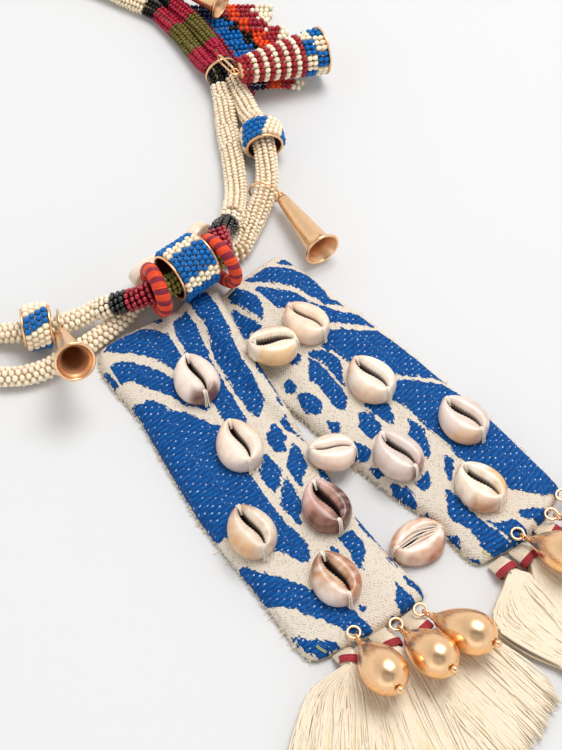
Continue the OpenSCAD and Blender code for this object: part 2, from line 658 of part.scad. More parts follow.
panel_left();
panel_right();
center_rope();
strand_a_left();
strand_a_right();
strand_b_left();
strand_b_right();
clasp();
thread_ring_left();
thread_ring_right();
tube_liner();
tube_beads();
cuff_left_liner();
cuff_left_beads();
cuff_right_liner();
cuff_right_beads();
gathering_ring();
bell_link();
bell_liner();
bell_beads();
bead_fringe();
cone_left();
cone_right();
cone_top();
hanger_left();
hanger_right();
hanger_top();
for (i = [1:COWRIES]) cowrie(i - 1);
for (i = [1:DROPS]) gold_drop(i - 1);
for (i = [1:DROPS]) drop_ring(i - 1);
for (i = [1:TASSELS]) tassel(i - 1);
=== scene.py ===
"""Shell and bead necklace: the pieces that dress its solids, the studio and the camera.

Tables and sizes are in millimetres and meshes in metres. Z is up, everything lies on Z = 0,
X runs along the front group and Y points from the pads towards the back of the neck.
"""

import logging
import math
from collections.abc import Sequence
from dataclasses import dataclass, field
from enum import Enum
from typing import Any

import bmesh
import bpy
import numpy as np
from mathutils import Matrix, Vector


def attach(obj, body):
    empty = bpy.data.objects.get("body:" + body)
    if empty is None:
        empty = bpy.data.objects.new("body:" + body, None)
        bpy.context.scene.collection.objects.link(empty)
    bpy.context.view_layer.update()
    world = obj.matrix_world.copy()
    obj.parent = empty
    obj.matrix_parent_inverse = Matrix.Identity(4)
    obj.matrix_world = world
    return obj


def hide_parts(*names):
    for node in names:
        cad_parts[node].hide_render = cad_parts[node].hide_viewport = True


logging.basicConfig(level=logging.INFO, format="%(message)s")
log = logging.getLogger("necklace")

MM = 0.001
FULL_TURN = 2 * math.pi
EYE_D = 3.0
EYE_WIRE_D = 0.8
LIP_R = 0.5
PIN_R = 0.4
Colour = tuple[float, float, float]
Spot = tuple[float, float, float]
Outline = list[tuple[float, float]]
Faces = list[tuple[int, ...]]
Socket = bpy.types.NodeSocket
Thing = bpy.types.Object
Random = np.random.Generator
Array = np.ndarray


def srgb(red: int, green: int, blue: int) -> Colour:
    """Turn a colour as seen on a screen, 0 to 255, into the linear colour that nodes use."""
    parts = [value / 255 for value in (red, green, blue)]
    return tuple(p / 12.92 if p <= 0.04045 else ((p + 0.055) / 1.055) ** 2.4 for p in parts)


class Dye(Enum):
    """Colours of beads and threads."""

    IVORY = srgb(255, 240, 214)
    BLUE = srgb(0, 106, 186)
    NAVY = srgb(14, 34, 84)
    BURGUNDY = srgb(164, 32, 48)
    ROSE = srgb(178, 34, 64)
    CRANBERRY = srgb(168, 16, 42)
    BLACK = srgb(9, 8, 8)
    OLIVE = srgb(112, 102, 46)
    MOSS = srgb(146, 142, 60)
    ORANGE = srgb(238, 74, 14)
    PLUM = srgb(146, 20, 52)
    COTTON = srgb(246, 232, 208)
    TAN = srgb(232, 204, 160)
    # painted shade: golden tint of the tassels' lower threads and filler, standing for warm shade in the
    # gaps
    GOLDEN_SHADE = srgb(246, 216, 166)
    WHITE_THREAD = srgb(244, 236, 222)
    HEM_GREEN = srgb(196, 196, 96)


DYES = {
    "B": Dye.BLUE, "C": Dye.IVORY, "R": Dye.BURGUNDY, "K": Dye.BLACK, "O": Dye.ORANGE, "N": Dye.NAVY,
}


def dyed(chart: str) -> Array:
    """Give the colour of each letter of a chart."""
    return np.array([DYES[letter].value for letter in chart])


class Slot(Enum):
    """Material slots of the record."""

    CLOTH = "woven_cloth"
    IVORY_BEADS = "ivory_beads"
    BLUE_BEADS = "blue_beads"
    RED_BEADS = "red_beads"
    DARK_BEADS = "dark_beads"
    WOUND_THREAD = "wound_thread"
    GOLD = "gold_metal"
    SHELL = "shell"
    COTTON = "cotton_thread"


# Node trees


class Signal:
    """A number on its way through a node tree, with the arithmetic that the finishes use."""

    def __init__(self, tree: bpy.types.NodeTree, socket: Socket) -> None:
        """Wrap one output socket of a tree."""
        self.tree = tree
        self.socket = socket

    def through(self, operation: str, *values: "Signal | float") -> "Signal":
        """Add one Math node.

        Args:
            operation: The Math node's operation.
            values: What goes into its sockets, in their order.

        Returns:
            The node's result.
        """
        node = self.tree.nodes.new("ShaderNodeMath")
        node.operation = operation
        for socket, value in zip(node.inputs, values):
            if isinstance(value, Signal):
                self.tree.links.new(value.socket, socket)
            else:
                socket.default_value = value
        return Signal(self.tree, node.outputs[0])

    def __add__(self, other: "Signal | float") -> "Signal":
        """Add."""
        return self.through("ADD", self, other)

    __radd__ = __add__

    def __sub__(self, other: "Signal | float") -> "Signal":
        """Subtract."""
        return self.through("SUBTRACT", self, other)

    def __rsub__(self, other: float) -> "Signal":
        """Subtract this from a number."""
        return self.through("SUBTRACT", other, self)

    def __mul__(self, other: "Signal | float") -> "Signal":
        """Multiply."""
        return self.through("MULTIPLY", self, other)

    __rmul__ = __mul__

    def __truediv__(self, other: "Signal | float") -> "Signal":
        """Divide."""
        return self.through("DIVIDE", self, other)

    def __mod__(self, other: float) -> "Signal":
        """Keep the remainder, which is never negative."""
        return self.through("FLOORED_MODULO", self, other)

    def __abs__(self) -> "Signal":
        """Drop the sign."""
        return self.through("ABSOLUTE", self)

    def floor(self) -> "Signal":
        """Round down."""
        return self.through("FLOOR", self)

    def wave(self) -> "Signal":
        """Take the sine of a number of turns."""
        return self.through("SINE", self * FULL_TURN)

    def step(self, low: float, high: float) -> "Signal":
        """Rise smoothly from 0 to 1.

        Args:
            low: Where the rise starts.
            high: Where it ends, above or below the start.

        Returns:
            The eased share.
        """
        node = self.tree.nodes.new("ShaderNodeMapRange")
        node.interpolation_type = "SMOOTHSTEP"
        self.tree.links.new(self.socket, node.inputs[0])
        limits = (low, high, 0.0, 1.0) if high > low else (high, low, 1.0, 0.0)
        for place, value in enumerate(limits, start=1):
            node.inputs[place].default_value = value
        return Signal(self.tree, node.outputs[0])


class Board:
    """Adds nodes to one tree and joins them up."""

    def __init__(self, tree: bpy.types.NodeTree) -> None:
        """Start on a tree."""
        self.tree = tree

    def feed(self, socket: Socket, value: Any) -> None:
        """Give a socket its link or its value.

        Args:
            socket: The socket.
            value: A signal, another socket or a plain value.
        """
        if isinstance(value, Signal):
            self.tree.links.new(value.socket, socket)
        elif isinstance(value, Socket):
            self.tree.links.new(value, socket)
        elif isinstance(value, tuple) and socket.type == "RGBA" and len(value) == 3:
            socket.default_value = (*value, 1.0)
        else:
            socket.default_value = value

    def add(
        self, kind: str, settings: dict[str, Any] | None = None, sockets: dict[str | int, Any] | None = None
    ) -> bpy.types.Node:
        """Add one node.

        Args:
            kind: The node's type.
            settings: Its settings.
            sockets: Values or links of its inputs, by name or by place.

        Returns:
            The new node.
        """
        node = self.tree.nodes.new(kind)
        for name, value in (settings or {}).items():
            setattr(node, name, value)
        for name, value in (sockets or {}).items():
            self.feed(node.inputs[name], value)
        return node

    def signal(self, socket: Socket) -> Signal:
        """Wrap an output socket."""
        return Signal(self.tree, socket)

    def place(self) -> Socket:
        """Where the surface is, in metres."""
        return self.add("ShaderNodeTexCoord").outputs["Object"]

    def mark(self, name: str, output: str = "Color") -> Socket:
        """Read an attribute of the mesh in a material."""
        return self.add("ShaderNodeAttribute", {"attribute_name": name}).outputs[output]

    def share(self, name: str) -> Signal:
        """Read an attribute that is one number in a material."""
        return self.signal(self.mark(name, "Fac"))

    def named(self, kind: str, name: str) -> Socket:
        """Read an attribute in a Geometry Nodes tree."""
        return self.add("GeometryNodeInputNamedAttribute", {"data_type": kind}, {"Name": name}).outputs[0]

    def mixed(self, share: Signal | float, low: Any, high: Any, how: str = "MIX") -> Socket:
        """Mix two colours by a share of the second one."""
        settings = {"data_type": "RGBA", "blend_type": how}
        return self.add("ShaderNodeMix", settings, {0: share, 6: low, 7: high}).outputs[2]

    def parts(self, vector: Socket) -> tuple[Signal, Signal, Signal]:
        """Split a vector into its three numbers."""
        node = self.add("ShaderNodeSeparateXYZ", sockets={0: vector})
        return tuple(self.signal(output) for output in node.outputs)

    def joined(self, x: Signal | float, y: Signal | float, z: Signal | float) -> Socket:
        """Join three numbers into a vector."""
        return self.add("ShaderNodeCombineXYZ", sockets={0: x, 1: y, 2: z}).outputs[0]

    def noise(self, at: Socket, scale: float, detail: float = 2.0) -> Signal:
        """Soft noise between 0 and 1, with a number of features in one unit."""
        node = self.add("ShaderNodeTexNoise", sockets={"Vector": at, "Scale": scale, "Detail": detail})
        return self.signal(node.outputs[0])

    def dice(self, at: Socket) -> Signal:
        """A new number between 0 and 1 for each whole place."""
        node = self.add("ShaderNodeTexWhiteNoise", {"noise_dimensions": "3D"}, {"Vector": at})
        return self.signal(node.outputs[0])

    def bump(self, height: Signal, distance: float, strength: float) -> Socket:
        """Turn a height into a normal; a height of 1 stands out by the distance, in metres."""
        sockets = {"Height": height, "Distance": distance, "Strength": strength}
        return self.add("ShaderNodeBump", sockets=sockets).outputs[0]


# Finishes


@dataclass(frozen=True)
class Finish:
    """A finish; each kind says what feeds its surface shader."""

    name: str

    def paint(self, board: Board) -> dict[str, Any]:
        """Say what feeds the shader's inputs."""
        raise NotImplementedError

    def material(self) -> bpy.types.Material:
        """Build the material.

        Returns:
            The material.
        """
        material = bpy.data.materials.new(self.name)
        material.use_nodes = True
        material.node_tree.nodes.clear()
        board = Board(material.node_tree)
        shader = board.add("ShaderNodeBsdfPrincipled", sockets=self.paint(board))
        board.add("ShaderNodeOutputMaterial", sockets={"Surface": shader.outputs[0]})
        return material


@dataclass(frozen=True)
class BeadGlass(Finish):
    """Opaque pressed glass; tint is each bead's colour and hole rises to 1 at the ends of its hole, which
    are painted with shade.
    """

    name: str = "bead_glass"
    roughness: float = 0.34
    coat: float = 0.06
    gloss: float = 0.22

    def paint(self, board: Board) -> dict[str, Any]:
        """Paint shade at both ends of each bead, where it meets the next, and make pale glass duller than
        dark glass.

        Args:
            board: The material's board.

        Returns:
            What feeds the shader.
        """
        place, tint = board.place(), board.mark("tint")
        cloud = board.noise(place, 900.0, 3.0)
        worn = board.mixed(cloud * 0.1, tint, srgb(150, 120, 90), "MULTIPLY")
        # painted shade: the glass darkens towards both ends of its hole, where beads meet
        hole = board.share("hole").step(0.45, 1.0) * 0.62
        pale = sum(board.parts(tint)).step(0.05, 0.5)
        return {
            "Base Color": board.mixed(hole, worn, srgb(218, 186, 140), "MULTIPLY"),
            "Roughness": self.roughness * (0.35 + pale * 0.65) + cloud * 0.12,
            "Specular IOR Level": self.gloss,
            "Coat Weight": self.coat,
            "Coat Roughness": 0.1,
            "Normal": board.bump(board.noise(place, 2600.0), 0.00003, 0.5),
        }


@dataclass(frozen=True)
class RoseGold(Finish):
    """Polished rose gold with faint hand-rubbed marks; where inside is 1 it is duller."""

    name: str = "rose_gold"
    colour: Colour = srgb(247, 204, 158)
    inside: Colour = srgb(240, 194, 152)
    roughness: float = 0.22

    def paint(self, board: Board) -> dict[str, Any]:
        """Rub the metal, and dull it inside hollows.

        Args:
            board: The material's board.

        Returns:
            What feeds the shader.
        """
        place, hollow = board.place(), board.share("inside")
        rubbed = board.noise(place, 420.0, 4.0)
        warm = board.mixed(rubbed.step(0.35, 0.8) * 0.4, self.colour, srgb(238, 186, 136))
        return {
            "Base Color": board.mixed(hollow, warm, self.inside),
            "Metallic": 1.0 - hollow * 0.1,
            "Roughness": self.roughness + rubbed * 0.08 + hollow * 0.16,
            "Normal": board.bump(board.noise(place, 5200.0) * 0.4 + rubbed, 0.00006, 0.35),
        }


@dataclass(frozen=True)
class YarnFinish(Finish):
    """Matt spun thread; each thread carries its own colour in the tint attribute."""

    grain: float = 3200.0
    roughness: float = 0.85
    sheen: float = 0.25
    depth: float = 0.3

    def paint(self, board: Board) -> dict[str, Any]:
        """Darken the thread between its fibres.

        Args:
            board: The material's board.

        Returns:
            What feeds the shader.
        """
        fibre = board.noise(board.place(), self.grain, 3.0)
        shade = fibre.step(0.6, 0.3) * self.depth
        return {
            "Base Color": board.mixed(shade, board.mark("tint"), srgb(226, 196, 160), "MULTIPLY"),
            "Roughness": self.roughness - fibre * 0.1,
            "Sheen Weight": self.sheen,
            "Sheen Roughness": 0.5,
            "Normal": board.bump(fibre, 0.0001, 0.5),
        }


@dataclass(frozen=True)
class ShellGlaze(Finish):
    """Glossy shell with tan clouds; tint is its colour, and the dark inside of its toothed slit is painted
    shade.
    """

    name: str = "shell_glaze"

    def paint(self, board: Board) -> dict[str, Any]:
        """Lay clouds and specks over the shell's colour, and paint shade into its slit.

        Args:
            board: The material's board.

        Returns:
            What feeds the shader.
        """
        place, pit = board.place(), board.share("pit")
        cloud = board.noise(place, 260.0, 4.0)
        speck = board.noise(place, 1300.0, 3.0).step(0.6, 0.72)
        clouded = 0.25 + cloud.step(0.45, 0.75) * 0.3
        glazed = board.mixed(clouded, board.mark("tint"), srgb(226, 200, 180), "MULTIPLY")
        glazed = board.mixed(speck * 0.1, glazed, srgb(170, 126, 94))
        return {
            # painted shade: near-black in the slit and the grooves between its teeth
            "Base Color": board.mixed(pit, glazed, srgb(48, 38, 42)),
            "Roughness": 0.22 + cloud * 0.14 + pit * 0.35,
            "Coat Weight": 0.25,
            "Coat Roughness": 0.12,
            "Normal": board.bump(board.noise(place, 800.0, 3.0), 0.0001, 0.5),
        }


@dataclass(frozen=True)
class IkatCloth(Finish):
    """Cream plain weave with raised blue wefts; dye is the distance inside a blue shape."""

    name: str = "ikat_cloth"
    cream: Colour = srgb(223, 212, 197)
    blue: Colour = srgb(14, 92, 164)
    deep_blue: Colour = srgb(4, 46, 104)
    fleck: Colour = srgb(206, 222, 238)
    thread: float = 0.56
    row: float = 1.6
    float_l: float = 3.4
    run: float = 5.0

    def paint(self, board: Board) -> dict[str, Any]:
        """Weave ground and floats, and choose between them by the dye.

        Args:
            board: The material's board.

        Returns:
            What feeds the shader.
        """
        lay = board.mark("lay", "Vector")
        across, down, _ = board.parts(lay)
        down = down + (board.noise(lay, 0.12) - 0.5) * 1.6
        across = across + (board.noise(lay, 0.21) - 0.5)
        half = self.row / 2.2
        ragged = board.dice(board.joined((across / self.run).floor(), (down / half).floor(), 1.0))
        toothed = board.dice(board.joined((across / half).floor(), (down / self.run).floor(), 2.0))
        blue = board.share("dye") + 0.18 + (ragged - 0.5) * 0.55 + (toothed - 0.5) * 0.75
        blue = blue.step(-0.06, 0.12)
        cream, plain = self.ground(board, across, down)
        weave, relief = self.floats(board, across, down)
        dark = board.noise(lay, 0.3, 3.0)
        cream = board.mixed(dark.step(0.5, 0.8) * 0.3, cream, srgb(226, 206, 184))
        weave = board.mixed(dark.step(0.45, 0.75) * 0.25, weave, self.deep_blue)
        height = plain * 0.3 * (1 - blue) + (relief + 0.5) * blue
        return {
            "Base Color": board.mixed(blue, cream, weave),
            "Normal": board.bump(height, 0.00034, 0.9),
            "Roughness": 0.88 - blue * 0.18,
            "Specular IOR Level": 0.15,
        }

    def ground(self, board: Board, across: Signal, down: Signal) -> tuple[Socket, Signal]:
        """Weave the cream ground, with small open places between threads, painted grey as shade inside them.

        Args:
            board: The material's board.
            across: Place across the pad, in millimetres.
            down: Place down the pad, in millimetres.

        Returns:
            Its colour and its relief.
        """
        warp, weft = across / self.thread, down / self.thread
        yarn = board.dice(board.joined(warp.floor(), weft.floor(), 4.0))
        middle = abs(warp % 1.0 - 0.5).step(0.36, 0.14) * abs(weft % 1.0 - 0.5).step(0.4, 0.2)
        open_place = yarn.step(0.8, 0.86) * middle
        colour = board.mixed(yarn * 0.3, self.cream, srgb(214, 196, 172))
        # painted shade: grey inside the open places of the weave
        colour = board.mixed(open_place * 0.5, colour, srgb(122, 112, 102))
        return colour, (warp * 0.5).wave() * (weft * 0.5).wave() - open_place

    def floats(self, board: Board, across: Signal, down: Signal) -> tuple[Socket, Signal]:
        """Weave the blue floats in staggered rows, with a pale fleck where they dip, and painted shade in
        the grooves between rows.

        Args:
            board: The material's board.
            across: Place across the pad, in millimetres.
            down: Place down the pad, in millimetres.

        Returns:
            Their colour and their relief.
        """
        row, third = (down / self.row).floor(), down / (self.row / 3)
        slid = across / self.float_l + (row % 2) * 0.5
        luck = board.dice(board.joined(slid.floor(), row, 7.0))
        swell = abs((down / (2 * self.row)).wave()) * (0.4 + 0.6 * (0.5 + 0.5 * (slid + 0.25).wave()))
        relief = swell + (0.5 + 0.5 * (third + across * 0.12).wave()) * 0.18
        sideways = abs((slid + luck * 0.3) % 1.0 - 0.5)
        lengthways = abs((down / self.row + luck * 0.3 + across * 0.1) % 1.0 - 0.5)
        fleck = sideways.step(0.11, 0.06) * lengthways.step(0.14, 0.06) * luck.step(0.05, 0.9)
        stroke = board.dice(board.joined((slid * 2.0).floor(), third.floor(), 3.0))
        # painted shade where the floats' relief is low, plus a random tone for each stroke
        deep = (1 - relief).step(0.1, 0.9) * 0.6 + stroke * 0.3
        colour = board.mixed(deep, self.blue, self.deep_blue)
        return board.mixed(fleck, colour, self.fleck), relief + fleck * 0.3


@dataclass(frozen=True)
class StudioFloor(Finish):
    """Plain pale board under the necklace."""

    name: str = "studio_floor"

    def paint(self, board: Board) -> dict[str, Any]:
        """Leave the board even and dull."""
        roughness = 0.8 + board.noise(board.place(), 30.0) * 0.1
        return {"Base Color": (0.7, 0.7, 0.7), "Roughness": roughness, "Specular IOR Level": 0.1}


class Finishes:
    """Every finish of the necklace, built once."""

    def __init__(self) -> None:
        """Build the materials."""
        self.glass = BeadGlass().material()
        self.glossy_glass = BeadGlass("glossy_bead_glass", 0.08, 0.7, 0.45).material()
        self.gold = RoseGold().material()
        self.lining = RoseGold("lining_gold", inside=srgb(120, 78, 34), roughness=0.24).material()
        self.winding = YarnFinish("wound_silk", 2600.0, 0.55, 0.1).material()
        self.cotton = YarnFinish("cotton_yarn").material()
        self.shell = ShellGlaze().material()
        self.cloth = IkatCloth().material()
        self.floor = StudioFloor().material()


# Meshes


@dataclass(frozen=True)
class Placement:
    """Where a part with its axis along local X goes."""

    at: Sequence[float]
    heading: float = 0.0
    pitch: float = 0.0
    roll: float = 0.0

    def matrix(self) -> Array:
        """Build the 4 by 4 matrix.

        Returns:
            The matrix, in millimetres.
        """
        matrix = Matrix.Translation(Vector(self.at))
        for angle, axis in ((self.heading, "Z"), (-self.pitch, "Y"), (self.roll, "X")):
            matrix = matrix @ Matrix.Rotation(math.radians(angle), 4, axis)
        return np.array(matrix)

    def place(self, points: Array) -> Array:
        """Move points from the part's own frame to the necklace's."""
        matrix = self.matrix()
        return points @ matrix[:3, :3].T + matrix[:3, 3]

    def turn(self, axes: Array) -> Array:
        """Turn directions without moving them."""
        return self.place(axes) - np.array(self.at)


def spun(profile: Outline, sides: int, loop: bool = False) -> tuple[Array, Faces]:
    """Turn a profile round the local X axis.

    Args:
        profile: Radius and place along the axis; a radius of 0 becomes a pole.
        sides: Number of steps round the axis.
        loop: Whether the profile closes on itself.

    Returns:
        Points and faces.
    """
    points: list[Spot] = []
    rows: list[list[int]] = []
    for radius, along in profile:
        if radius < 1e-6:
            rows.append([len(points)] * sides)
            points.append((along, 0.0, 0.0))
            continue
        rows.append(list(range(len(points), len(points) + sides)))
        for k in range(sides):
            angle = FULL_TURN * k / sides
            points.append((along, radius * math.cos(angle), radius * math.sin(angle)))
    faces = []
    for low, high in zip(rows, rows[1:] + rows[:1] if loop else rows[1:]):
        for k in range(sides):
            face = tuple(dict.fromkeys((low[k], low[(k + 1) % sides], high[(k + 1) % sides], high[k])))
            if len(face) > 2:
                faces.append(face)
    return np.array(points), faces


def round_wire(ring_d: float, wire_d: float, sides: int = 48, around: int = 12) -> tuple[Array, Faces]:
    """Make a ring of round wire about the local X axis.

    Args:
        ring_d: Diameter of the wire's centre line.
        wire_d: Diameter of the wire.
        sides: Steps round the ring.
        around: Steps round the wire.

    Returns:
        Points and faces.
    """
    turns = [FULL_TURN * k / around for k in range(around)]
    circle = [(ring_d / 2 + wire_d / 2 * math.cos(a), wire_d / 2 * math.sin(a)) for a in turns]
    return spun(circle, sides, loop=True)


def rolled_lip(radius: float, along: float, start: float, steps: int) -> Outline:
    """Round a rim from an angle to its inner side."""
    turns = np.linspace(start, math.pi, steps)
    return [(radius + LIP_R * math.cos(a), along + LIP_R * math.sin(a)) for a in turns]


def mirrored(outline: Outline) -> Outline:
    """Repeat half an outline on the other side of the middle."""
    return [(radius, -along) for radius, along in reversed(outline)]


def write_mark(mesh: bpy.types.Mesh, name: str, values: Array) -> None:
    """Store an attribute on a mesh's points.

    Args:
        mesh: The mesh.
        name: The attribute's name; tint is a colour.
        values: A number or three numbers for each point.
    """
    kind, key = ("FLOAT_VECTOR", "vector") if values.ndim == 2 else ("FLOAT", "value")
    if name == "tint":
        kind, key = "FLOAT_COLOR", "color"
        values = np.concatenate([values, np.ones((len(values), 1))], axis=1)
    layer = mesh.attributes.new(name, kind, "POINT")
    layer.data.foreach_set(key, values.astype(np.float32).ravel())


def put(name: str, data: bpy.types.ID) -> Thing:
    """Make an object and add it to the scene.

    Args:
        name: Its name.
        data: Its mesh, lamp or camera.

    Returns:
        The object.
    """
    thing = bpy.data.objects.new(name, data)
    bpy.context.scene.collection.objects.link(thing)
    return thing


class Workpiece:
    """Gathers points, faces and attributes, and makes them one object."""

    def __init__(self) -> None:
        """Start empty."""
        self.points: list[Array] = []
        self.faces: Faces = []
        self.marks: dict[str, list[Array]] = {}
        self.count = 0

    def add(self, points: Array, faces: Faces, **marks: Any) -> "Workpiece":
        """Add one part.

        Args:
            points: Its points, in millimetres.
            faces: Its faces, by place in points.
            marks: Attributes, one value for each point, or a number or a colour for all.

        Returns:
            The workpiece.
        """
        self.points.append(np.asarray(points, dtype=float))
        self.faces.extend(tuple(int(c) + self.count for c in face) for face in faces)
        for name, value in marks.items():
            value = np.asarray(value, dtype=float)
            if len(value.shape) == 0 or value.shape == (3,):
                value = np.tile(value, (len(points), 1) if value.ndim else len(points))
            self.marks.setdefault(name, []).append(value)
        self.count += len(points)
        return self

    def turned(self, profile: Outline, sides: int, place: Placement) -> "Workpiece":
        """Add a part turned from a profile."""
        points, faces = spun(profile, sides)
        return self.add(place.place(points), faces, inside=0)

    def eye(self, place: Placement, axes: Sequence[int], back: float) -> "Workpiece":
        """Add a small eye of wire behind a part's start, turned by the order of its axes."""
        points, faces = round_wire(EYE_D, EYE_WIRE_D, 32, 10)
        return self.add(place.place(points[:, axes] - [back, 0, 0]), faces, inside=0)

    def build(self, name: str, material: bpy.types.Material) -> Thing:
        """Make the object, with smooth faces that point outwards.

        Args:
            name: The object's name.
            material: Its finish.

        Returns:
            The object.
        """
        mesh = bpy.data.meshes.new(name)
        mesh.from_pydata((np.concatenate(self.points) * MM).tolist(), [], self.faces)
        for mark, values in self.marks.items():
            write_mark(mesh, mark, np.concatenate(values))
        shape = bmesh.new()
        shape.from_mesh(mesh)
        bmesh.ops.remove_doubles(shape, verts=shape.verts, dist=2e-6)
        bmesh.ops.recalc_face_normals(shape, faces=shape.faces)
        shape.to_mesh(mesh)
        shape.free()
        mesh.polygons.foreach_set("use_smooth", [True] * len(mesh.polygons))
        mesh.materials.append(material)
        return put(name, mesh)


def along_curve(knots: Sequence[Sequence[float]], steps: int) -> Array:
    """Read a smooth curve through knots at even distances.

    Args:
        knots: The knots; columns after the third are carried along.
        steps: Number of points to return.

    Returns:
        The points.
    """
    k = np.asarray(knots, dtype=float)
    k = np.vstack([2 * k[0] - k[1], k, 2 * k[-1] - k[-2]])
    t = np.linspace(0, 1, 24, endpoint=False)[:, None]
    fine = []
    for a, b, c, d in zip(k, k[1:], k[2:], k[3:]):
        slope, bend, twist = c - a, 2 * a - 5 * b + 4 * c - d, 3 * b - a - 3 * c + d
        fine.append(0.5 * (2 * b + slope * t + bend * t**2 + twist * t**3))
    fine = np.vstack([*fine, k[-2][None, :]])
    run = np.concatenate([[0], np.cumsum(np.linalg.norm(np.diff(fine[:, :3], axis=0), axis=1))])
    places = np.linspace(0, run[-1], steps)
    return np.stack([np.interp(places, run, column) for column in fine.T], axis=1)


def run_of(knots: Sequence[Sequence[float]]) -> float:
    """Measure the length of a smooth curve through knots."""
    curve = along_curve(knots, 200)[:, :3]
    return float(np.linalg.norm(np.diff(curve, axis=0), axis=1).sum())


def frames_of(curve: Array) -> tuple[Array, Array, Array]:
    """Find the directions along a curve that lies flat.

    Args:
        curve: Its points.

    Returns:
        Tangent, sideways and upward directions.
    """
    tangent = np.gradient(curve[:, :3], axis=0)
    tangent /= np.linalg.norm(tangent, axis=1)[:, None]
    side = np.cross(tangent, [0, 0, 1])
    side /= np.linalg.norm(side, axis=1)[:, None]
    return tangent, side, np.cross(side, tangent)


# Geometry Nodes


class Workshop:
    """A Geometry Nodes tree with named inputs, and the way to run it on a seed mesh."""

    title = "workshop"
    inputs: dict[str, str] = {}

    def __init__(self) -> None:
        """Build the tree."""
        self.tree = bpy.data.node_groups.new(self.title, "GeometryNodeTree")
        face = self.tree.interface
        face.new_socket("Geometry", in_out="INPUT", socket_type="NodeSocketGeometry")
        face.new_socket("Geometry", in_out="OUTPUT", socket_type="NodeSocketGeometry")
        for name, kind in (self.inputs | {"Material": "Material"}).items():
            face.new_socket(name, in_out="INPUT", socket_type="NodeSocket" + kind)
        board = Board(self.tree)
        given = board.add("NodeGroupInput").outputs
        made = self.lay_out(board, given)
        whole = board.add("GeometryNodeRealizeInstances", sockets={0: made}).outputs[0]
        dressing = {"Geometry": whole, "Material": given["Material"]}
        dressed = board.add("GeometryNodeSetMaterial", sockets=dressing).outputs[0]
        board.add("NodeGroupOutput", sockets={0: dressed})
        self.keys = {i.name: i.identifier for i in face.items_tree if i.in_out == "INPUT"}

    def lay_out(self, board: Board, given: Any) -> Socket:
        """Add the tree's own nodes and return the geometry that they make."""
        raise NotImplementedError

    def run(self, name: str, seed: bpy.types.Mesh, **values: Any) -> Thing:
        """Run the tree and keep its result as a plain mesh.

        Args:
            name: Name of the piece.
            seed: Mesh that the tree starts from.
            values: Each of the tree's inputs.

        Returns:
            The finished object.
        """
        piece = put(name, seed)
        modifier = piece.modifiers.new(self.title, "NODES")
        modifier.node_group = self.tree
        for key, value in values.items():
            modifier[self.keys[key]] = value
        bpy.context.view_layer.update()
        result = piece.evaluated_get(bpy.context.evaluated_depsgraph_get())
        mesh = bpy.data.meshes.new_from_object(result)
        piece.modifiers.remove(modifier)
        piece.data = mesh
        mesh.name = name
        return piece


class BeadStringer(Workshop):
    """Sets a squashed round bead on each point, turned along its axis attribute."""

    title = "bead_stringer"
    inputs = {"Flatness": "Float", "Segments": "Int", "Rings": "Int", "Spread": "Float", "Seed": "Int"}

    def lay_out(self, board: Board, given: Any) -> Socket:
        """Add the tree's own nodes.

        Args:
            board: The tree's board.
            given: The group input's sockets.

        Returns:
            The beads.
        """
        steps = {"Segments": given["Segments"], "Rings": given["Rings"], "Radius": 0.5}
        ball = board.add("GeometryNodeMeshUVSphere", sockets=steps).outputs[0]
        height = board.parts(board.add("GeometryNodeInputPosition").outputs[0])[2]
        # hole rises towards the bead's ends, which the glass darkens as painted shade
        hole = {"Geometry": ball, "Name": "hole", "Value": abs(height) * 2}
        kind = {"data_type": "FLOAT", "domain": "POINT"}
        marked = board.add("GeometryNodeStoreNamedAttribute", kind, hole).outputs[0]
        squash = {"Geometry": marked, "Scale": board.joined(1.0, 1.0, board.signal(given["Flatness"]))}
        bead = board.add("GeometryNodeTransform", sockets=squash).outputs[0]
        bead = board.add("GeometryNodeSetShadeSmooth", sockets={"Geometry": bead}).outputs[0]
        axis = {"Vector": board.named("FLOAT_VECTOR", "axis")}
        turn = board.add("FunctionNodeAlignRotationToVector", {"axis": "Z"}, axis).outputs[0]
        spread = board.signal(given["Spread"])
        limits = {2: 1 - spread, 3: 1 + spread, "Seed": given["Seed"]}
        luck = board.add("FunctionNodeRandomValue", {"data_type": "FLOAT"}, limits).outputs[1]
        size = board.signal(board.named("FLOAT", "size")) * board.signal(luck)
        strung = {"Points": given["Geometry"], "Instance": bead, "Rotation": turn}
        strung["Scale"] = board.joined(size, size, size)
        return board.add("GeometryNodeInstanceOnPoints", sockets=strung).outputs[0]


class ThreadDrawer(Workshop):
    """Draws a thread or wire along each line of edges, as thick as its fat attribute says."""

    title = "thread_drawer"
    inputs = {"Sides": "Int"}

    def lay_out(self, board: Board, given: Any) -> Socket:
        """Add the tree's own nodes.

        Args:
            board: The tree's board.
            given: The group input's sockets.

        Returns:
            The threads.
        """
        lines = board.add("GeometryNodeMeshToCurve", sockets={"Mesh": given["Geometry"]}).outputs[0]
        circle = {"Resolution": given["Sides"], "Radius": 1.0}
        ring = board.add("GeometryNodeCurvePrimitiveCircle", sockets=circle).outputs[0]
        tube = {"Curve": lines, "Profile Curve": ring, "Scale": board.named("FLOAT", "fat")}
        tube["Fill Caps"] = True
        drawn = board.add("GeometryNodeCurveToMesh", sockets=tube).outputs[0]
        return board.add("GeometryNodeSetShadeSmooth", sockets={"Geometry": drawn}).outputs[0]


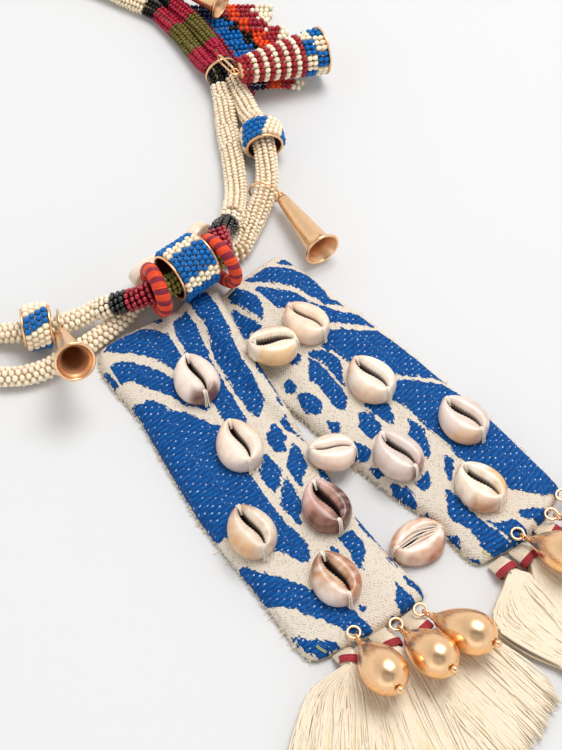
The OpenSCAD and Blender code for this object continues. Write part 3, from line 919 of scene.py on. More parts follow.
@dataclass
class BeadList:
    """Places, axes, sizes and colours of beads, before they are made."""

    places: list[Array] = field(default_factory=list)
    axes: list[Array] = field(default_factory=list)
    sizes: list[Array] = field(default_factory=list)
    tints: list[Array] = field(default_factory=list)

    def add(self, places: Array, axes: Array, size: float, tints: Array) -> None:
        """Add beads.

        Args:
            places: Their middles, in millimetres.
            axes: The way of their holes, one for all or one for each.
            size: Their diameter.
            tints: Their colours.
        """
        self.places.append(places)
        self.axes.append(np.broadcast_to(axes, places.shape))
        self.sizes.append(np.full(len(places), size))
        self.tints.append(np.clip(tints, 0, 1))

    def mesh(self, name: str) -> bpy.types.Mesh:
        """Make what the bead stringer starts from.

        Args:
            name: The mesh's name.

        Returns:
            A mesh of points.
        """
        mesh = bpy.data.meshes.new(name)
        mesh.from_pydata((np.concatenate(self.places) * MM).tolist(), [], [])
        write_mark(mesh, "axis", np.concatenate(self.axes))
        write_mark(mesh, "size", np.concatenate(self.sizes) * MM)
        write_mark(mesh, "tint", np.concatenate(self.tints))
        return mesh


@dataclass
class ThreadList:
    """Lines of thread or wire, before they are drawn."""

    points: list[Array] = field(default_factory=list)
    edges: list[tuple[int, int]] = field(default_factory=list)
    fats: list[Array] = field(default_factory=list)
    tints: list[Array] = field(default_factory=list)
    count: int = 0

    def add(
        self, line: Array, thick: float | Array, tint: Sequence[float], closed: bool = False
    ) -> None:
        """Add one line.

        Args:
            line: Its points, in millimetres.
            thick: Its diameter, or one for each point.
            tint: Its colour.
            closed: Whether it closes on itself.
        """
        start, size = self.count, len(line)
        self.points.append(np.asarray(line, dtype=float))
        self.edges += [(start + i, start + i + 1) for i in range(size - 1)]
        if closed:
            self.edges.append((start + size - 1, start))
        self.fats.append(np.broadcast_to(np.asarray(thick) / 2, size))
        self.tints.append(np.tile(tint, (size, 1)))
        self.count += size

    def mesh(self, name: str) -> bpy.types.Mesh:
        """Make what the thread drawer starts from.

        Args:
            name: The mesh's name.

        Returns:
            A mesh of edges.
        """
        mesh = bpy.data.meshes.new(name)
        mesh.from_pydata((np.concatenate(self.points) * MM).tolist(), self.edges, [])
        write_mark(mesh, "fat", np.concatenate(self.fats) * MM)
        write_mark(mesh, "tint", np.concatenate(self.tints))
        return mesh


@dataclass
class Kit:
    """What every sub-assembly works with."""

    finish: Finishes
    beads: BeadStringer
    threads: ThreadDrawer

    def hand_over(self, piece: Thing, slot: Slot, *nodes: str) -> None:
        """Tie a finished piece to the frame and report it.

        Args:
            piece: The piece.
            slot: The record's slot; not used.
            nodes: Solids that it stands for.
        """
        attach(piece, "root")
        if nodes:
            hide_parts(*nodes)
        faces = len(piece.data.polygons)
        log.info("%s: %d faces, for %s", piece.name, faces, ", ".join(nodes) or "no solid")

    def forge(
        self, part: Workpiece, name: str, *nodes: str, finish: Any = None, slot: Slot = Slot.GOLD
    ) -> Thing:
        """Make one object, of gold unless another finish is given.

        Args:
            part: What it is made of.
            name: Its name.
            nodes: Solids that it stands for.
            finish: Its material.
            slot: The record's slot.

        Returns:
            The object.
        """
        piece = part.build(name, finish or self.finish.gold)
        self.hand_over(piece, slot, *nodes)
        return piece

    def wire_ring(
        self, name: str, node: str, place: Placement, ring_d: float, wire_d: float, sides: int = 64
    ) -> None:
        """Make a ring of gold wire that stands for one solid."""
        points, faces = round_wire(ring_d, wire_d, sides)
        self.forge(Workpiece().add(place.place(points), faces, inside=0), name, node)

    def string(
        self, beads: BeadList, name: str, slot: Slot, node: str, flat: float, seed: int,
        spread: float = 0.04, segments: int = 10, rings: int = 6, glass: Any = None,
    ) -> None:
        """Make the beads of a list, which stand for one solid.

        Args:
            beads: The list.
            name: The piece's name.
            slot: The record's slot.
            node: The solid.
            flat: Length of a bead as a share of its diameter.
            seed: Picks the small differences.
            spread: Size of the differences.
            segments: Faces round a bead.
            rings: Faces along a bead.
            glass: The beads' material, plain glass unless given.
        """
        piece = self.beads.run(
            name, beads.mesh(name + "_seed"), Flatness=flat, Segments=segments, Rings=rings,
            Spread=spread, Seed=seed, Material=glass or self.finish.glass,
        )
        self.hand_over(piece, slot, node)

    def draw(
        self, lines: ThreadList, name: str, slot: Slot, *nodes: str, sides: int = 5, finish: Any = None
    ) -> None:
        """Make the threads of a list, of cotton unless another finish is given.

        Args:
            lines: The list.
            name: The piece's name.
            slot: The record's slot.
            nodes: Solids that it stands for.
            sides: Faces round a thread.
            finish: Its material.
        """
        material = finish or self.finish.cotton
        piece = self.threads.run(name, lines.mesh(name + "_seed"), Sides=sides, Material=material)
        self.hand_over(piece, slot, *nodes)


def shades(dye: Dye, count: int, rng: Random, spread: float = 0.1) -> Array:
    """Vary one colour a little from bead to bead.

    Args:
        dye: The colour.
        count: How many.
        rng: Source of the variation.
        spread: Largest change in brightness.

    Returns:
        One colour for each bead.
    """
    light = 1 + rng.uniform(-spread, spread, (count, 1))
    warm = 1 + rng.uniform(-spread, spread, (count, 3)) * 0.3
    return np.clip(np.array(dye.value)[None, :] * light * warm, 0, 1)


def shade(dye: Dye, rng: Random, spread: float) -> Array:
    """Vary a colour for one thread."""
    return shades(dye, 1, rng, spread)[0]


# Strands

STRAND_D = 7.4
BEAD_POINTS = 4
# Each row is x, y, the rise above lying flat and, where it isn't STRAND_D, the diameter.
ROUTES: dict[str, list[tuple[float, ...]]] = {
    "center_rope": [
        (-34.9, 3.1, 5.6), (-29.5, -0.4, 7.9), (-24, -4, 10.1), (-17, -6.8, 11.9), (-10, -7.4, 10.8),
        (-3, -7.6, 10.4), (3, -8.6, 11), (7.2, -9, 11.6), (9.9, -7.8, 11.9), (12.2, -5, 11.8),
        (13.8, -1.6, 11.3), (15.8, 1.2, 10.2), (19, 3.2, 8.2), (23, 5.2, 6), (26.3, 7.7, 4.8),
    ],
    "strand_a_left": [
        (-35.8, 3.8, 4.9), (-40, 5.1, 3.5), (-45, 6.4, 2.9), (-50, 8, 3), (-56, 10.7, 3.6),
        (-61, 13.5, 2.7), (-66, 18, 1.2), (-72, 24, 0), (-84, 36, 0), (-94, 52, 0), (-100, 72, 0),
        (-101, 96, 0), (-97, 122, 0), (-86, 147, 0), (-68, 168, 0), (-46, 182, 0), (-32, 188.6, 0.9, 6.2),
        (-26.6, 190.6, 2, 4.8), (-22.7, 191.1, 2.6, 4.6),
    ],
    "strand_b_left": [
        (-3.5, 0.1, 0), (-15, 1.2, 0), (-22, 0.6, 0), (-29, -1.6, 0), (-37, -3, 0), (-46, -3.4, 0),
        (-55, -3.6, 0), (-63, -3, 0), (-71, 0.2, 0), (-80, 8, 0), (-94, 26, 0), (-105, 48, 0),
        (-110, 72, 0), (-110, 100, 0), (-104, 130, 0), (-90, 157, 0), (-70, 177, 0), (-46, 190.6, 0),
        (-32, 195.4, 0.9, 6.2), (-26.6, 196.4, 2, 4.8), (-22.7, 196.5, 2.6, 4.6),
    ],
    "strand_a_right": [
        (27.2, 8.6, 4.2, 8), (31, 12.4, 2.5, 8), (35, 17, 1, 8), (40, 24, 0.2, 8), (46.2, 34.1, 0, 8),
        (52.6, 45.8, 0, 8), (58.1, 55, 0.6, 7.4), (61.7, 62.4, 2, 6.2), (64.2, 69, 4.3, 5.2),
        (65.2, 76, 2.2, 6.2), (66.4, 84, 0.6, 6.6), (68, 97, 0, 6.8), (68.2, 109, 0, 6.6),
        (67.4, 115, 0, 6.6), (63.4, 125, 0, 7), (56.4, 143, 0), (45, 162, 0), (26, 178, 0), (8, 186.6, 0),
        (-0.6, 190.4, 1.8, 5.2), (-5.3, 191.1, 2.6, 4.6),
    ],
    "strand_b_right": [
        (-2.6, 0.1, 0), (8, 0.8, 0), (12, 0.4, 0), (16.5, -1.6, 0), (21.5, -2.6, 0, 7.6),
        (27.5, 0.8, 0, 8), (34.5, 4.8, 0.6, 8), (40.6, 8.5, 1.5, 8), (46.5, 13.4, 1.9, 8),
        (51.8, 20.2, 2.4, 8), (56.4, 27.4, 3.6, 8), (60, 35.4, 3.6, 8), (62.8, 45, 1.6, 8),
        (66, 53.4, 1, 7.4), (68.2, 61.4, 2.2, 6.2), (69.6, 67.9, 4.3, 5.2), (71.9, 75.5, 2.2, 6.4),
        (73.7, 84, 0.8, 7), (75.4, 97, 0.4, 7.2), (75.5, 109, 0.6, 7), (75.2, 117, 1.5, 7),
        (74.4, 124, 1.8, 7), (72.8, 132, 1, 7), (66.8, 147, 0), (51.6, 168, 0), (29, 186, 0),
        (9, 194.6, 0.6, 6.6), (-0.6, 196.6, 1.8, 5.2), (-5.3, 196.5, 2.6, 4.6),
    ],
}
RIGHT_BANDS = (
    (64, 71.5, Dye.BLACK), (71.5, 84, Dye.ROSE), (84, 100, Dye.OLIVE), (100, 112, Dye.ROSE),
    (112, 118, Dye.BLACK),
)
ROPE_BANDS = (
    (-31.4, -26.6, Dye.BLACK), (-26.6, -15, Dye.CRANBERRY), (-15, 8, Dye.MOSS), (8, 15.2, Dye.CRANBERRY),
    (15.2, 23.5, Dye.BLACK),
)
BANDS = {
    "center_rope": (0, ROPE_BANDS), "strand_a_right": (1, RIGHT_BANDS), "strand_b_right": (1, RIGHT_BANDS),
}


def route_line(name: str) -> list[tuple[float, ...]]:
    """Give a route's centre line and diameter, from its rise above lying flat."""
    rows = [(*row, STRAND_D)[:4] for row in ROUTES[name]]
    return [(x, y, rise + d / 2, d) for x, y, rise, d in rows]


@dataclass(frozen=True)
class BundleStyle:
    """How the bead threads of one bundle are laid."""

    bead_d: float
    pitch: float
    turn_l: float
    puff: float
    tilt: float = 0.0
    flatness: float = 0.86


STYLES = {
    "center_rope": BundleStyle(2.2, 1.85, 90, 0.6, 12),
    "strand_a_left": BundleStyle(2.5, 2.2, 240, 0.2),
    "strand_b_left": BundleStyle(2.5, 2.2, 260, 0.2),
    "strand_a_right": BundleStyle(2.1, 1.6, 420, 0.5, 32, 0.7),
    "strand_b_right": BundleStyle(2.1, 1.6, 260, 0.5, 32, 0.7),
}


@dataclass
class Strands:
    """The bundles of seed bead threads that run round the neck, and the dark rope between them."""

    kit: Kit
    seed: int = 11

    def build(self) -> None:
        """Make each bundle, its bead threads and the core inside it, whose colour is painted shade in the
        gaps.
        """
        for place, name in enumerate(ROUTES):
            self.bundle(name, STYLES[name], np.random.default_rng(self.seed + place))

    def bundle(self, name: str, style: BundleStyle, rng: Random) -> None:
        """Make one bundle of bead threads.

        Args:
            name: The node that it stands for.
            style: How its threads are laid.
            rng: Source of the small differences between beads.
        """
        knots = route_line(name)
        length = run_of(knots)
        steps = int(length / style.pitch)
        fine = BEAD_POINTS * steps
        curve = along_curve(knots, fine)
        tangent, side, up = frames_of(curve)
        radius = (curve[:, 3] - style.bead_d) / 2 + style.puff
        fits = 2 * np.maximum(np.round(math.pi * radius / (style.bead_d * 0.94)), 2)
        run = np.linspace(0, length, fine)
        slope = math.tan(math.radians(style.tilt))
        beads = BeadList()
        for thread in range(int(fits.max())):
            angle = FULL_TURN * (thread / fits + run / style.turn_l)
            out, round_it = np.cos(angle)[:, None], np.sin(angle)[:, None]
            offset = 0.25 * (thread // 2 % 2) if style.tilt else 0.5 * (thread % 2)
            picked = ((np.arange(steps) + offset) * BEAD_POINTS).astype(int)
            picked = picked[picked < fine - 1]
            picked = picked[thread < fits[picked]]
            places = (curve[:, :3] + radius[:, None] * (out * side + round_it * up))[picked]
            places += rng.normal(0, 0.06, places.shape)
            places[:, 2] = np.maximum(places[:, 2], style.bead_d / 2)
            lean = slope * (1 if thread % 2 else -1)
            axes = (tangent + lean * (out * up - round_it * side))[picked]
            axes += rng.normal(0, 0.1, places.shape)
            beads.add(places, axes, style.bead_d, self.colours(name, curve[picked, :3], rng))
        dark = name == "center_rope"
        glass, slot = (self.kit.finish.glossy_glass, Slot.DARK_BEADS) if dark else (None, Slot.IVORY_BEADS)
        self.kit.string(beads, name + "_beads", slot, name, style.flatness, self.seed, 0.06, 8, 4, glass)
        # painted shade: a tan core, black under the dark rope, shows in the gaps between bead threads
        core = ThreadList()
        line = along_curve(knots, max(12, steps // 2))
        thick = np.maximum(line[:, 3] - 1.35 * style.bead_d, 1.2)
        core.add(line[:, :3], thick, (Dye.BLACK if dark else Dye.TAN).value)
        self.kit.draw(core, name + "_core", Slot.COTTON, sides=8)

    def colours(self, name: str, places: Array, rng: Random) -> Array:
        """Colour the beads of one thread by where they lie.

        Args:
            name: The strand.
            places: The beads' places on its centre line.
            rng: Random source.

        Returns:
            One colour for each bead.
        """
        tints = shades(Dye.IVORY, len(places), rng, 0.06)
        axis, bands = BANDS.get(name, (0, ()))
        for low, high, dye in bands:
            inside = (places[:, axis] >= low) & (places[:, axis] < high)
            tints[inside] = shades(dye, int(inside.sum()), rng, 0.15)
        return tints


# Front group


@dataclass(frozen=True)
class BeadedSleeve:
    """A metal sleeve with a rolled lip at each end, covered by rings of beads."""

    name: str
    place: Placement
    outer_d: float
    length: float
    rings: int
    chart: str
    start: float
    slant: int = 0
    skin: float = 1.8
    wall: float = 0.6

    def liner(self) -> Workpiece:
        """Make the metal sleeve.

        Returns:
            The sleeve, with its bore marked as its inside.
        """
        r = self.outer_d / 2 - self.skin
        half = self.length / 2 + LIP_R
        lip = [(r, half - 0.5), (r + 0.35, half - 0.35)] + rolled_lip(r, half, -0.6, 12)
        lip += [(r - self.wall, half - 0.3)]
        points, faces = spun(lip + [(r - self.wall, 0)] + mirrored(lip), 72, loop=True)
        inside = np.clip((r - 0.1 - np.hypot(points[:, 1], points[:, 2])) * 4, 0, 1)
        inside *= np.abs(points[:, 0]) < half - 0.1
        return Workpiece().add(self.place.place(points), faces, inside=inside)

    def beads(self, rng: Random) -> BeadList:
        """Place the beads ring by ring, each ring half a bead to one side of the last.

        Args:
            rng: Random source.

        Returns:
            The beads.
        """
        around = len(self.chart)
        bead_d = min(self.length / self.rings, FULL_TURN * (self.outer_d / 2 - 1.0) / around) * 1.12
        radius = self.outer_d / 2 - bead_d / 2
        beads = BeadList()
        for ring in range(self.rings):
            along = (ring + 0.5) / self.rings * self.length - self.length / 2
            shift = 0.5 * ring * self.slant if self.slant else 0.5 * (ring % 2)
            turn = FULL_TURN * (np.arange(around) + shift) / around + math.radians(self.start)
            sine, cosine = np.sin(turn), np.cos(turn)
            spots = np.stack([np.full(around, along), radius * sine, radius * cosine], axis=1)
            spots += rng.normal(0, 0.05, spots.shape)
            axes = self.place.turn(np.stack([np.zeros(around), cosine, -sine], axis=1))
            light = 1 + rng.uniform(-0.1, 0.1, (around, 1))
            beads.add(self.place.place(spots), axes, bead_d, dyed(self.chart) * light)
        return beads

    def backing(self) -> ThreadList:
        """Lay the threads under the beads.

        Returns:
            The threads, which run along the sleeve.
        """
        threads = ThreadList()
        r, end = self.outer_d / 2 - self.skin + 0.35, self.length / 2 - 0.3
        for turn in np.linspace(0, FULL_TURN, 56, endpoint=False):
            spot = np.array([0, r * math.cos(turn), r * math.sin(turn)])
            line = np.array([[-end, 0, 0], [end, 0, 0]]) + spot
            threads.add(self.place.place(line), 0.7, Dye.TAN.value)
        return threads


@dataclass(frozen=True)
class WoundRing:
    """A ring wound round and round with silk in two colours."""

    name: str
    place: Placement
    outer_d: float
    thick: float
    stripes: int = 13
    wraps: int = 92
    lean: float = 0.05
    silk_d: float = 0.66
    orange_share: float = 0.56

    def windings(self, rng: Random) -> ThreadList:
        """Lay the turns of thread round the ring.

        Args:
            rng: Random source.

        Returns:
            The turns, as closed lines.
        """
        threads = ThreadList()
        ring_r = (self.outer_d - self.thick) / 2
        around = np.linspace(0, FULL_TURN, 15)[:-1]
        for wrap in range(self.wraps):
            middle = FULL_TURN * (wrap + rng.uniform(-0.15, 0.15)) / self.wraps
            stripe = middle / FULL_TURN * self.stripes % 1.0
            tint = shade(Dye.ORANGE if stripe < self.orange_share else Dye.PLUM, rng, 0.12)
            angle = middle + self.lean * np.sin(around)
            radius = self.thick / 2 - 0.24 + rng.uniform(-0.04, 0.04)
            out = ring_r + radius * np.cos(around)
            line = np.stack([radius * np.sin(around), out * np.cos(angle), out * np.sin(angle)], axis=1)
            threads.add(self.place.place(line), self.silk_d, tint, closed=True)
        return threads

    def core(self) -> Workpiece:
        """Make the ring under the windings."""
        points, faces = round_wire(self.outer_d - self.thick, self.thick - 0.8, 64)
        return Workpiece().add(self.place.place(points), faces, tint=Dye.PLUM.value)


@dataclass
class FrontGroup:
    """The tube, its two wound rings, the two cuffs, the gathering ring and the clasp."""

    kit: Kit
    seed: int = 23
    gather: Placement = Placement((66.9, 68.45, 6.9), 79)
    clasp_at: Placement = Placement((-14, 193.8, 5))
    sleeves: tuple = (
        ("tube", (-3.2, -6, 16.7), 2, (20.6, 14, 7, "BBBBBCC" * 4, -54)),
        ("cuff_left", (-55.8, 10.6, 8.4), -27, (16.8, 8.4, 4, "BBBCCCCCBBBCCCCBBBCCCC", -47, 1)),
        ("cuff_right", (58.1, 30.8, 8.4), 63, (16.8, 8.4, 4, "BBBBBCCCCBBBCCCBBBCCCC", 14, -1)),
    )
    rings: tuple[WoundRing, ...] = (
        WoundRing("thread_ring_left", Placement((-17, -6.6, 15.6), -12), 20, 5.2),
        WoundRing("thread_ring_right", Placement((7.9, -9.4, 14.7), 6), 22, 4.6, 14, 104),
    )

    def build(self) -> None:
        """Make the sleeves, rings and clasp."""
        for name, at, heading, sizes in self.sleeves:
            sleeve = BeadedSleeve(name, Placement(at, heading), *sizes)
            self.sleeve(sleeve, Slot.BLUE_BEADS if name == "tube" else Slot.IVORY_BEADS)
        for ring in self.rings:
            self.wound(ring)
        self.kit.wire_ring("gathering_wire", "gathering_ring", self.gather, 12.4, 1.0)
        self.clasp()

    def sleeve(self, sleeve: BeadedSleeve, slot: Slot) -> None:
        """Make one sleeve and its beads.

        Args:
            sleeve: The sleeve.
            slot: The record's slot of its beads.
        """
        kit, name = self.kit, sleeve.name
        kit.forge(sleeve.liner(), name + "_sleeve", name + "_liner", finish=kit.finish.lining)
        beads = sleeve.beads(np.random.default_rng(self.seed))
        kit.string(beads, name + "_beadwork", slot, name + "_beads", 0.94, self.seed)
        kit.draw(sleeve.backing(), name + "_backing", slot)

    def wound(self, ring: WoundRing) -> None:
        """Make one wound ring.

        Args:
            ring: The ring.
        """
        turns, silk = ring.windings(np.random.default_rng(self.seed + ring.stripes)), self.kit.finish.winding
        self.kit.draw(turns, ring.name + "_silk", Slot.WOUND_THREAD, ring.name, finish=silk)
        self.kit.forge(ring.core(), ring.name + "_core", finish=silk, slot=Slot.WOUND_THREAD)

    def clasp(self) -> None:
        """Make the barrel clasp at the back of the neck."""
        half, r = 8.0, 5.0
        edge = [(r - 1 + math.sin(a), half - 1 + math.cos(a)) for a in np.linspace(0, math.pi / 2, 8)]
        grooves = [(r, 3), (r - 0.35, 2.7), (r, 2.4), (r, 0.5), (r - 0.25, 0)]
        front = [(0.0, half)] + edge + grooves
        barrel = Workpiece().turned(front + mirrored(front[:-1]), 64, self.clasp_at)
        self.kit.forge(barrel, "barrel_clasp", "clasp")


# Bell and fringe


@dataclass
class BellAndFringe:
    """The beaded bell on its long link, and the fringe of bead strands above it."""

    kit: Kit
    place: Placement = Placement((68.7, 58.8, 14.1), -15.5, -4.2)
    length: float = 33.6
    mouth_d: float = 18.6
    tip_d: float = 10.0
    skin: float = 2.0
    wall: float = 0.6
    bell_bands: str = "RRCRCRCRCRCRXXXX"
    link_at: Spot = (66.8, 64.6, 13.75)
    link_l: float = 10.2
    link_w: float = 3.8
    fringe_d: float = 2.5
    fringe_pitch: float = 1.85
    seed: int = 41
    fringe_rows: tuple = (
        (104.4, 104.2, 86.6, 4), (95, 99.6, 81.2, 3), (87.4, 102.8, 74, 3),
        (80.2, 100.2, 65.3, 3), (73, 96.6, 58.3, 3), (60, 90, 47.8, 2),
    )
    header: tuple = ((56, 72.6), (70, 76.9), (79, 79.3), (94, 80.9), (110, 80.8))
    near_chart: str = "BBBKOORRC"
    far_chart: str = "NNKRORRCC"

    def radius(self, share: float) -> float:
        """Outer radius at a share of the bell's length."""
        return self.tip_d / 2 + (self.mouth_d - self.tip_d) / 2 * share**0.85

    def build(self) -> None:
        """Make the bell, its link and the fringe."""
        self.liner()
        self.beadwork()
        self.link()
        self.fringe()

    def liner(self) -> None:
        """Make the metal bell with its rolled rim and eye."""
        steps = np.linspace(0, 1, 14)
        outer = [(self.radius(t) - self.skin, t * self.length) for t in steps]
        inner = [(self.radius(t) - self.skin - self.wall, max(t * self.length, 1)) for t in reversed(steps)]
        rim_r = self.mouth_d / 2 - self.skin / 2
        turns = np.linspace(0.1, FULL_TURN - 1.2, 14)
        rim = [(rim_r + 1.1 * math.sin(a), self.length + LIP_R * (1 - math.cos(a))) for a in turns]
        points, faces = spun([(0, 0)] + outer + rim + inner + [(0, 1)], 72)
        deep = np.clip((self.length - points[:, 0]) / 3, 0, 1)
        shares = np.clip(points[:, 0] / self.length, 0, 1)
        bore = np.hypot(points[:, 1], points[:, 2]) < self.radius(shares) - self.skin - 0.3
        metal = Workpiece().add(self.place.place(points), faces, inside=deep * bore)
        self.kit.forge(metal.eye(self.place, [1, 2, 0], 1.9), "bell_metal", "bell_liner")

    def beadwork(self) -> None:
        """Cover the bell with rings of beads in bands of colour."""
        rng = np.random.default_rng(self.seed)
        rows = len(self.bell_bands)
        bead_d = self.length / rows * 1.1
        beads = BeadList()
        for row, band in enumerate(self.bell_bands):
            share = (row + 0.5) / rows
            radius = self.radius(share) - bead_d / 2 + 0.1
            around = int(FULL_TURN * radius / (bead_d * 0.9))
            turn = FULL_TURN * (np.arange(around) + 0.5 * (row % 2)) / around
            sine, cosine = np.sin(turn), np.cos(turn)
            spots = np.stack([np.full(around, share * self.length), radius * cosine, radius * sine], 1)
            axes = self.place.turn(np.stack([np.zeros(around), -sine, cosine], axis=1))
            if band == "X":
                check = (np.arange(around) // 3 + (row - 12) // 2) % 2
                chart = "".join("C" if odd else "B" for odd in check)
            else:
                chart = band * around
            tints = dyed(chart) * (1 + rng.uniform(-0.1, 0.1, (around, 1)))
            beads.add(self.place.place(spots + rng.normal(0, 0.04, spots.shape)), axes, bead_d, tints)
        self.kit.string(beads, "bell_beadwork", Slot.RED_BEADS, "bell_beads", 0.9, self.seed)

    def link(self) -> None:
        """Bend the long link of wire."""
        bend, straight = self.link_w / 2, (self.link_l - self.link_w) / 2
        turns = np.linspace(-math.pi / 2, math.pi / 2, 13)
        half = [(0.0, straight + bend * math.cos(a), bend * math.sin(a)) for a in turns]
        line = np.array(half + [(0.0, -y, -z) for _, y, z in half]) + self.link_at
        wire = ThreadList()
        wire.add(line, 0.9, Dye.TAN.value, closed=True)
        self.kit.draw(wire, "bell_long_link", Slot.GOLD, "bell_link", sides=12, finish=self.kit.finish.gold)

    def fringe(self) -> None:
        """String the fringe's header and its groups of strands."""
        rng = np.random.default_rng(self.seed + 1)
        z = self.fringe_d / 2 + 0.02
        beads, threads = BeadList(), ThreadList()
        line = along_curve([(x, y, z) for y, x in self.header], 29)
        beads.add(line, np.gradient(line, axis=0), 2.1, shades(Dye.BURGUNDY, len(line), rng, 0.2))
        for group in range(len(self.fringe_rows)):
            self.fringe_group(group, z, beads, threads, rng)
        self.kit.string(beads, "fringe_beadwork", Slot.RED_BEADS, "bead_fringe", 0.85, self.seed, 0.06)
        self.kit.draw(threads, "fringe_threads", Slot.RED_BEADS)

    def fringe_group(self, group: int, z: float, beads: BeadList, threads: ThreadList, rng: Random) -> None:
        """String one group of the fringe's strands.

        Args:
            group: Its number.
            z: Height of the beads' middles.
            beads: Where the beads are kept.
            threads: Where the threads are kept.
            rng: Random source.
        """
        root_y, tip_x, tip_y, count = self.fringe_rows[group]
        dyes = dyed(self.far_chart if group in (0, 5) else self.near_chart)
        last = len(dyes) - 1
        for k in range(count):
            shift = k - (count - 1) / 2
            y = root_y + shift * 2.9
            root = np.array([np.interp(y, *zip(*self.header)), y])
            along = np.array([tip_x, tip_y]) - root
            along /= np.linalg.norm(along)
            aside = np.array([-along[1], along[0]])
            tip = np.array([tip_x, tip_y]) + shift * 2.5 * aside + (k % 2) * 1.5 * along
            size = int(np.linalg.norm(tip - root) / self.fringe_pitch)
            share = (np.arange(size) + 0.5) / size
            spots = np.concatenate([root + share[:, None] * (tip - root), np.full((size, 1), z)], axis=1)
            spots[:, :2] += rng.normal(0, 0.08, (size, 2))
            spots[:, 2] += 2.6 * (group % 2) * np.sin(math.pi * share) * min(k + 1, count - k) / count
            picked = [int(np.clip(t * (last + 1) + rng.uniform(-0.3, 0.3), 0, last)) for t in share]
            tints = dyes[picked] * rng.uniform(0.85, 1.15, (size, 1))
            beads.add(spots, np.array([*along, 0.0]), self.fringe_d - 0.05, tints)
            threads.add(np.array([[*root, z], [*tip, z]]), 0.7, Dye.TAN.value)


# Cones and drops


@dataclass
class Cones:
    """Three hollow trumpet cones, each on a ring of wire round a strand."""

    kit: Kit
    length: float = 28.5
    mouth_d: float = 13.8
    tip_d: float = 4.2
    wall: float = 0.7
    ring_d: float = 11.2
    wire_d: float = 0.9
    stem: float = 1.9
    rows: tuple = (
        ("left", -49, 6.95, 6.9, -27, 145, -108.5, 34, 0),
        ("right", 43.4, 10.7, 6.1, 41, 180, -98, 3.6, 0),
        ("top", 74.3, 123.4, 6.1, 97, 100, -66.5, -3.6, 90),
    )

    def build(self) -> None:
        """Make each cone and its ring."""
        for side, x, y, z, strand, round_at, heading, pitch, roll in self.rows:
            ring_r = self.ring_d / 2 + 0.15
            a, b = math.radians(strand), math.radians(round_at)
            offset = np.array([-math.sin(a) * math.cos(b), math.cos(a) * math.cos(b), math.sin(b)])
            eye_at = np.array([x, y, z]) + ring_r * offset
            self.cone("cone_" + side, Placement(eye_at, heading, pitch), roll)
            strand_at = Placement((x, y, z), strand)
            self.kit.wire_ring("hanger_wire_" + side, "hanger_" + side, strand_at, self.ring_d, self.wire_d)

    def profile(self, inset: float) -> Outline:
        """Outline of the trumpet: a long taper that flares near the mouth.

        Args:
            inset: How far inside the outer skin it lies.

        Returns:
            Radius and place along the axis.
        """
        tip, mouth, length = self.tip_d / 2, self.mouth_d / 2, self.length
        taper = ((0, 0), (0.75, 0.25), (1.5, 0.5), (2.1, 0.72), (2.6, 0.87), (3.3, 0.935))
        knots = [(tip + out, share * length, 0) for out, share in taper]
        knots += [(mouth - 1.0, 0.982 * length, 0), (mouth - LIP_R, length, 0)]
        return [(r - inset, x) for r, x, _ in along_curve(knots, 30)]

    def cone(self, name: str, place: Placement, roll: float) -> None:
        """Make one cone with its eye.

        Args:
            name: The node that it stands for.
            place: Where its eye is and how it points.
            roll: Turn of the eye about the cone's axis.
        """
        outer, inner = self.profile(0), self.profile(self.wall)
        lip = rolled_lip(self.mouth_d / 2 - LIP_R, self.length, -0.3, 10)
        inner = [(r, x) for r, x in reversed(inner) if 1.4 < x < self.length - 0.4]
        points, faces = spun([(0, 0)] + outer[:-1] + lip + inner + [(0, 1.3)], 72)
        radius = np.hypot(points[:, 1], points[:, 2])
        skin = np.interp(points[:, 0], [x for _, x in outer], [r for r, _ in outer])
        inside = (radius < skin - 0.4) & (points[:, 0] > 1) & (points[:, 0] < self.length)
        shell = Workpiece().add(place.place(points + [self.stem, 0, 0]), faces, inside=inside)
        shell.eye(Placement(place.at, place.heading, place.pitch, roll), [1, 2, 0], 0)
        shell.turned([(0, 1.4), (PIN_R, 1.4), (PIN_R, 2.4), (0, 2.4)], 16, place)
        self.kit.forge(shell, name + "_trumpet", name)


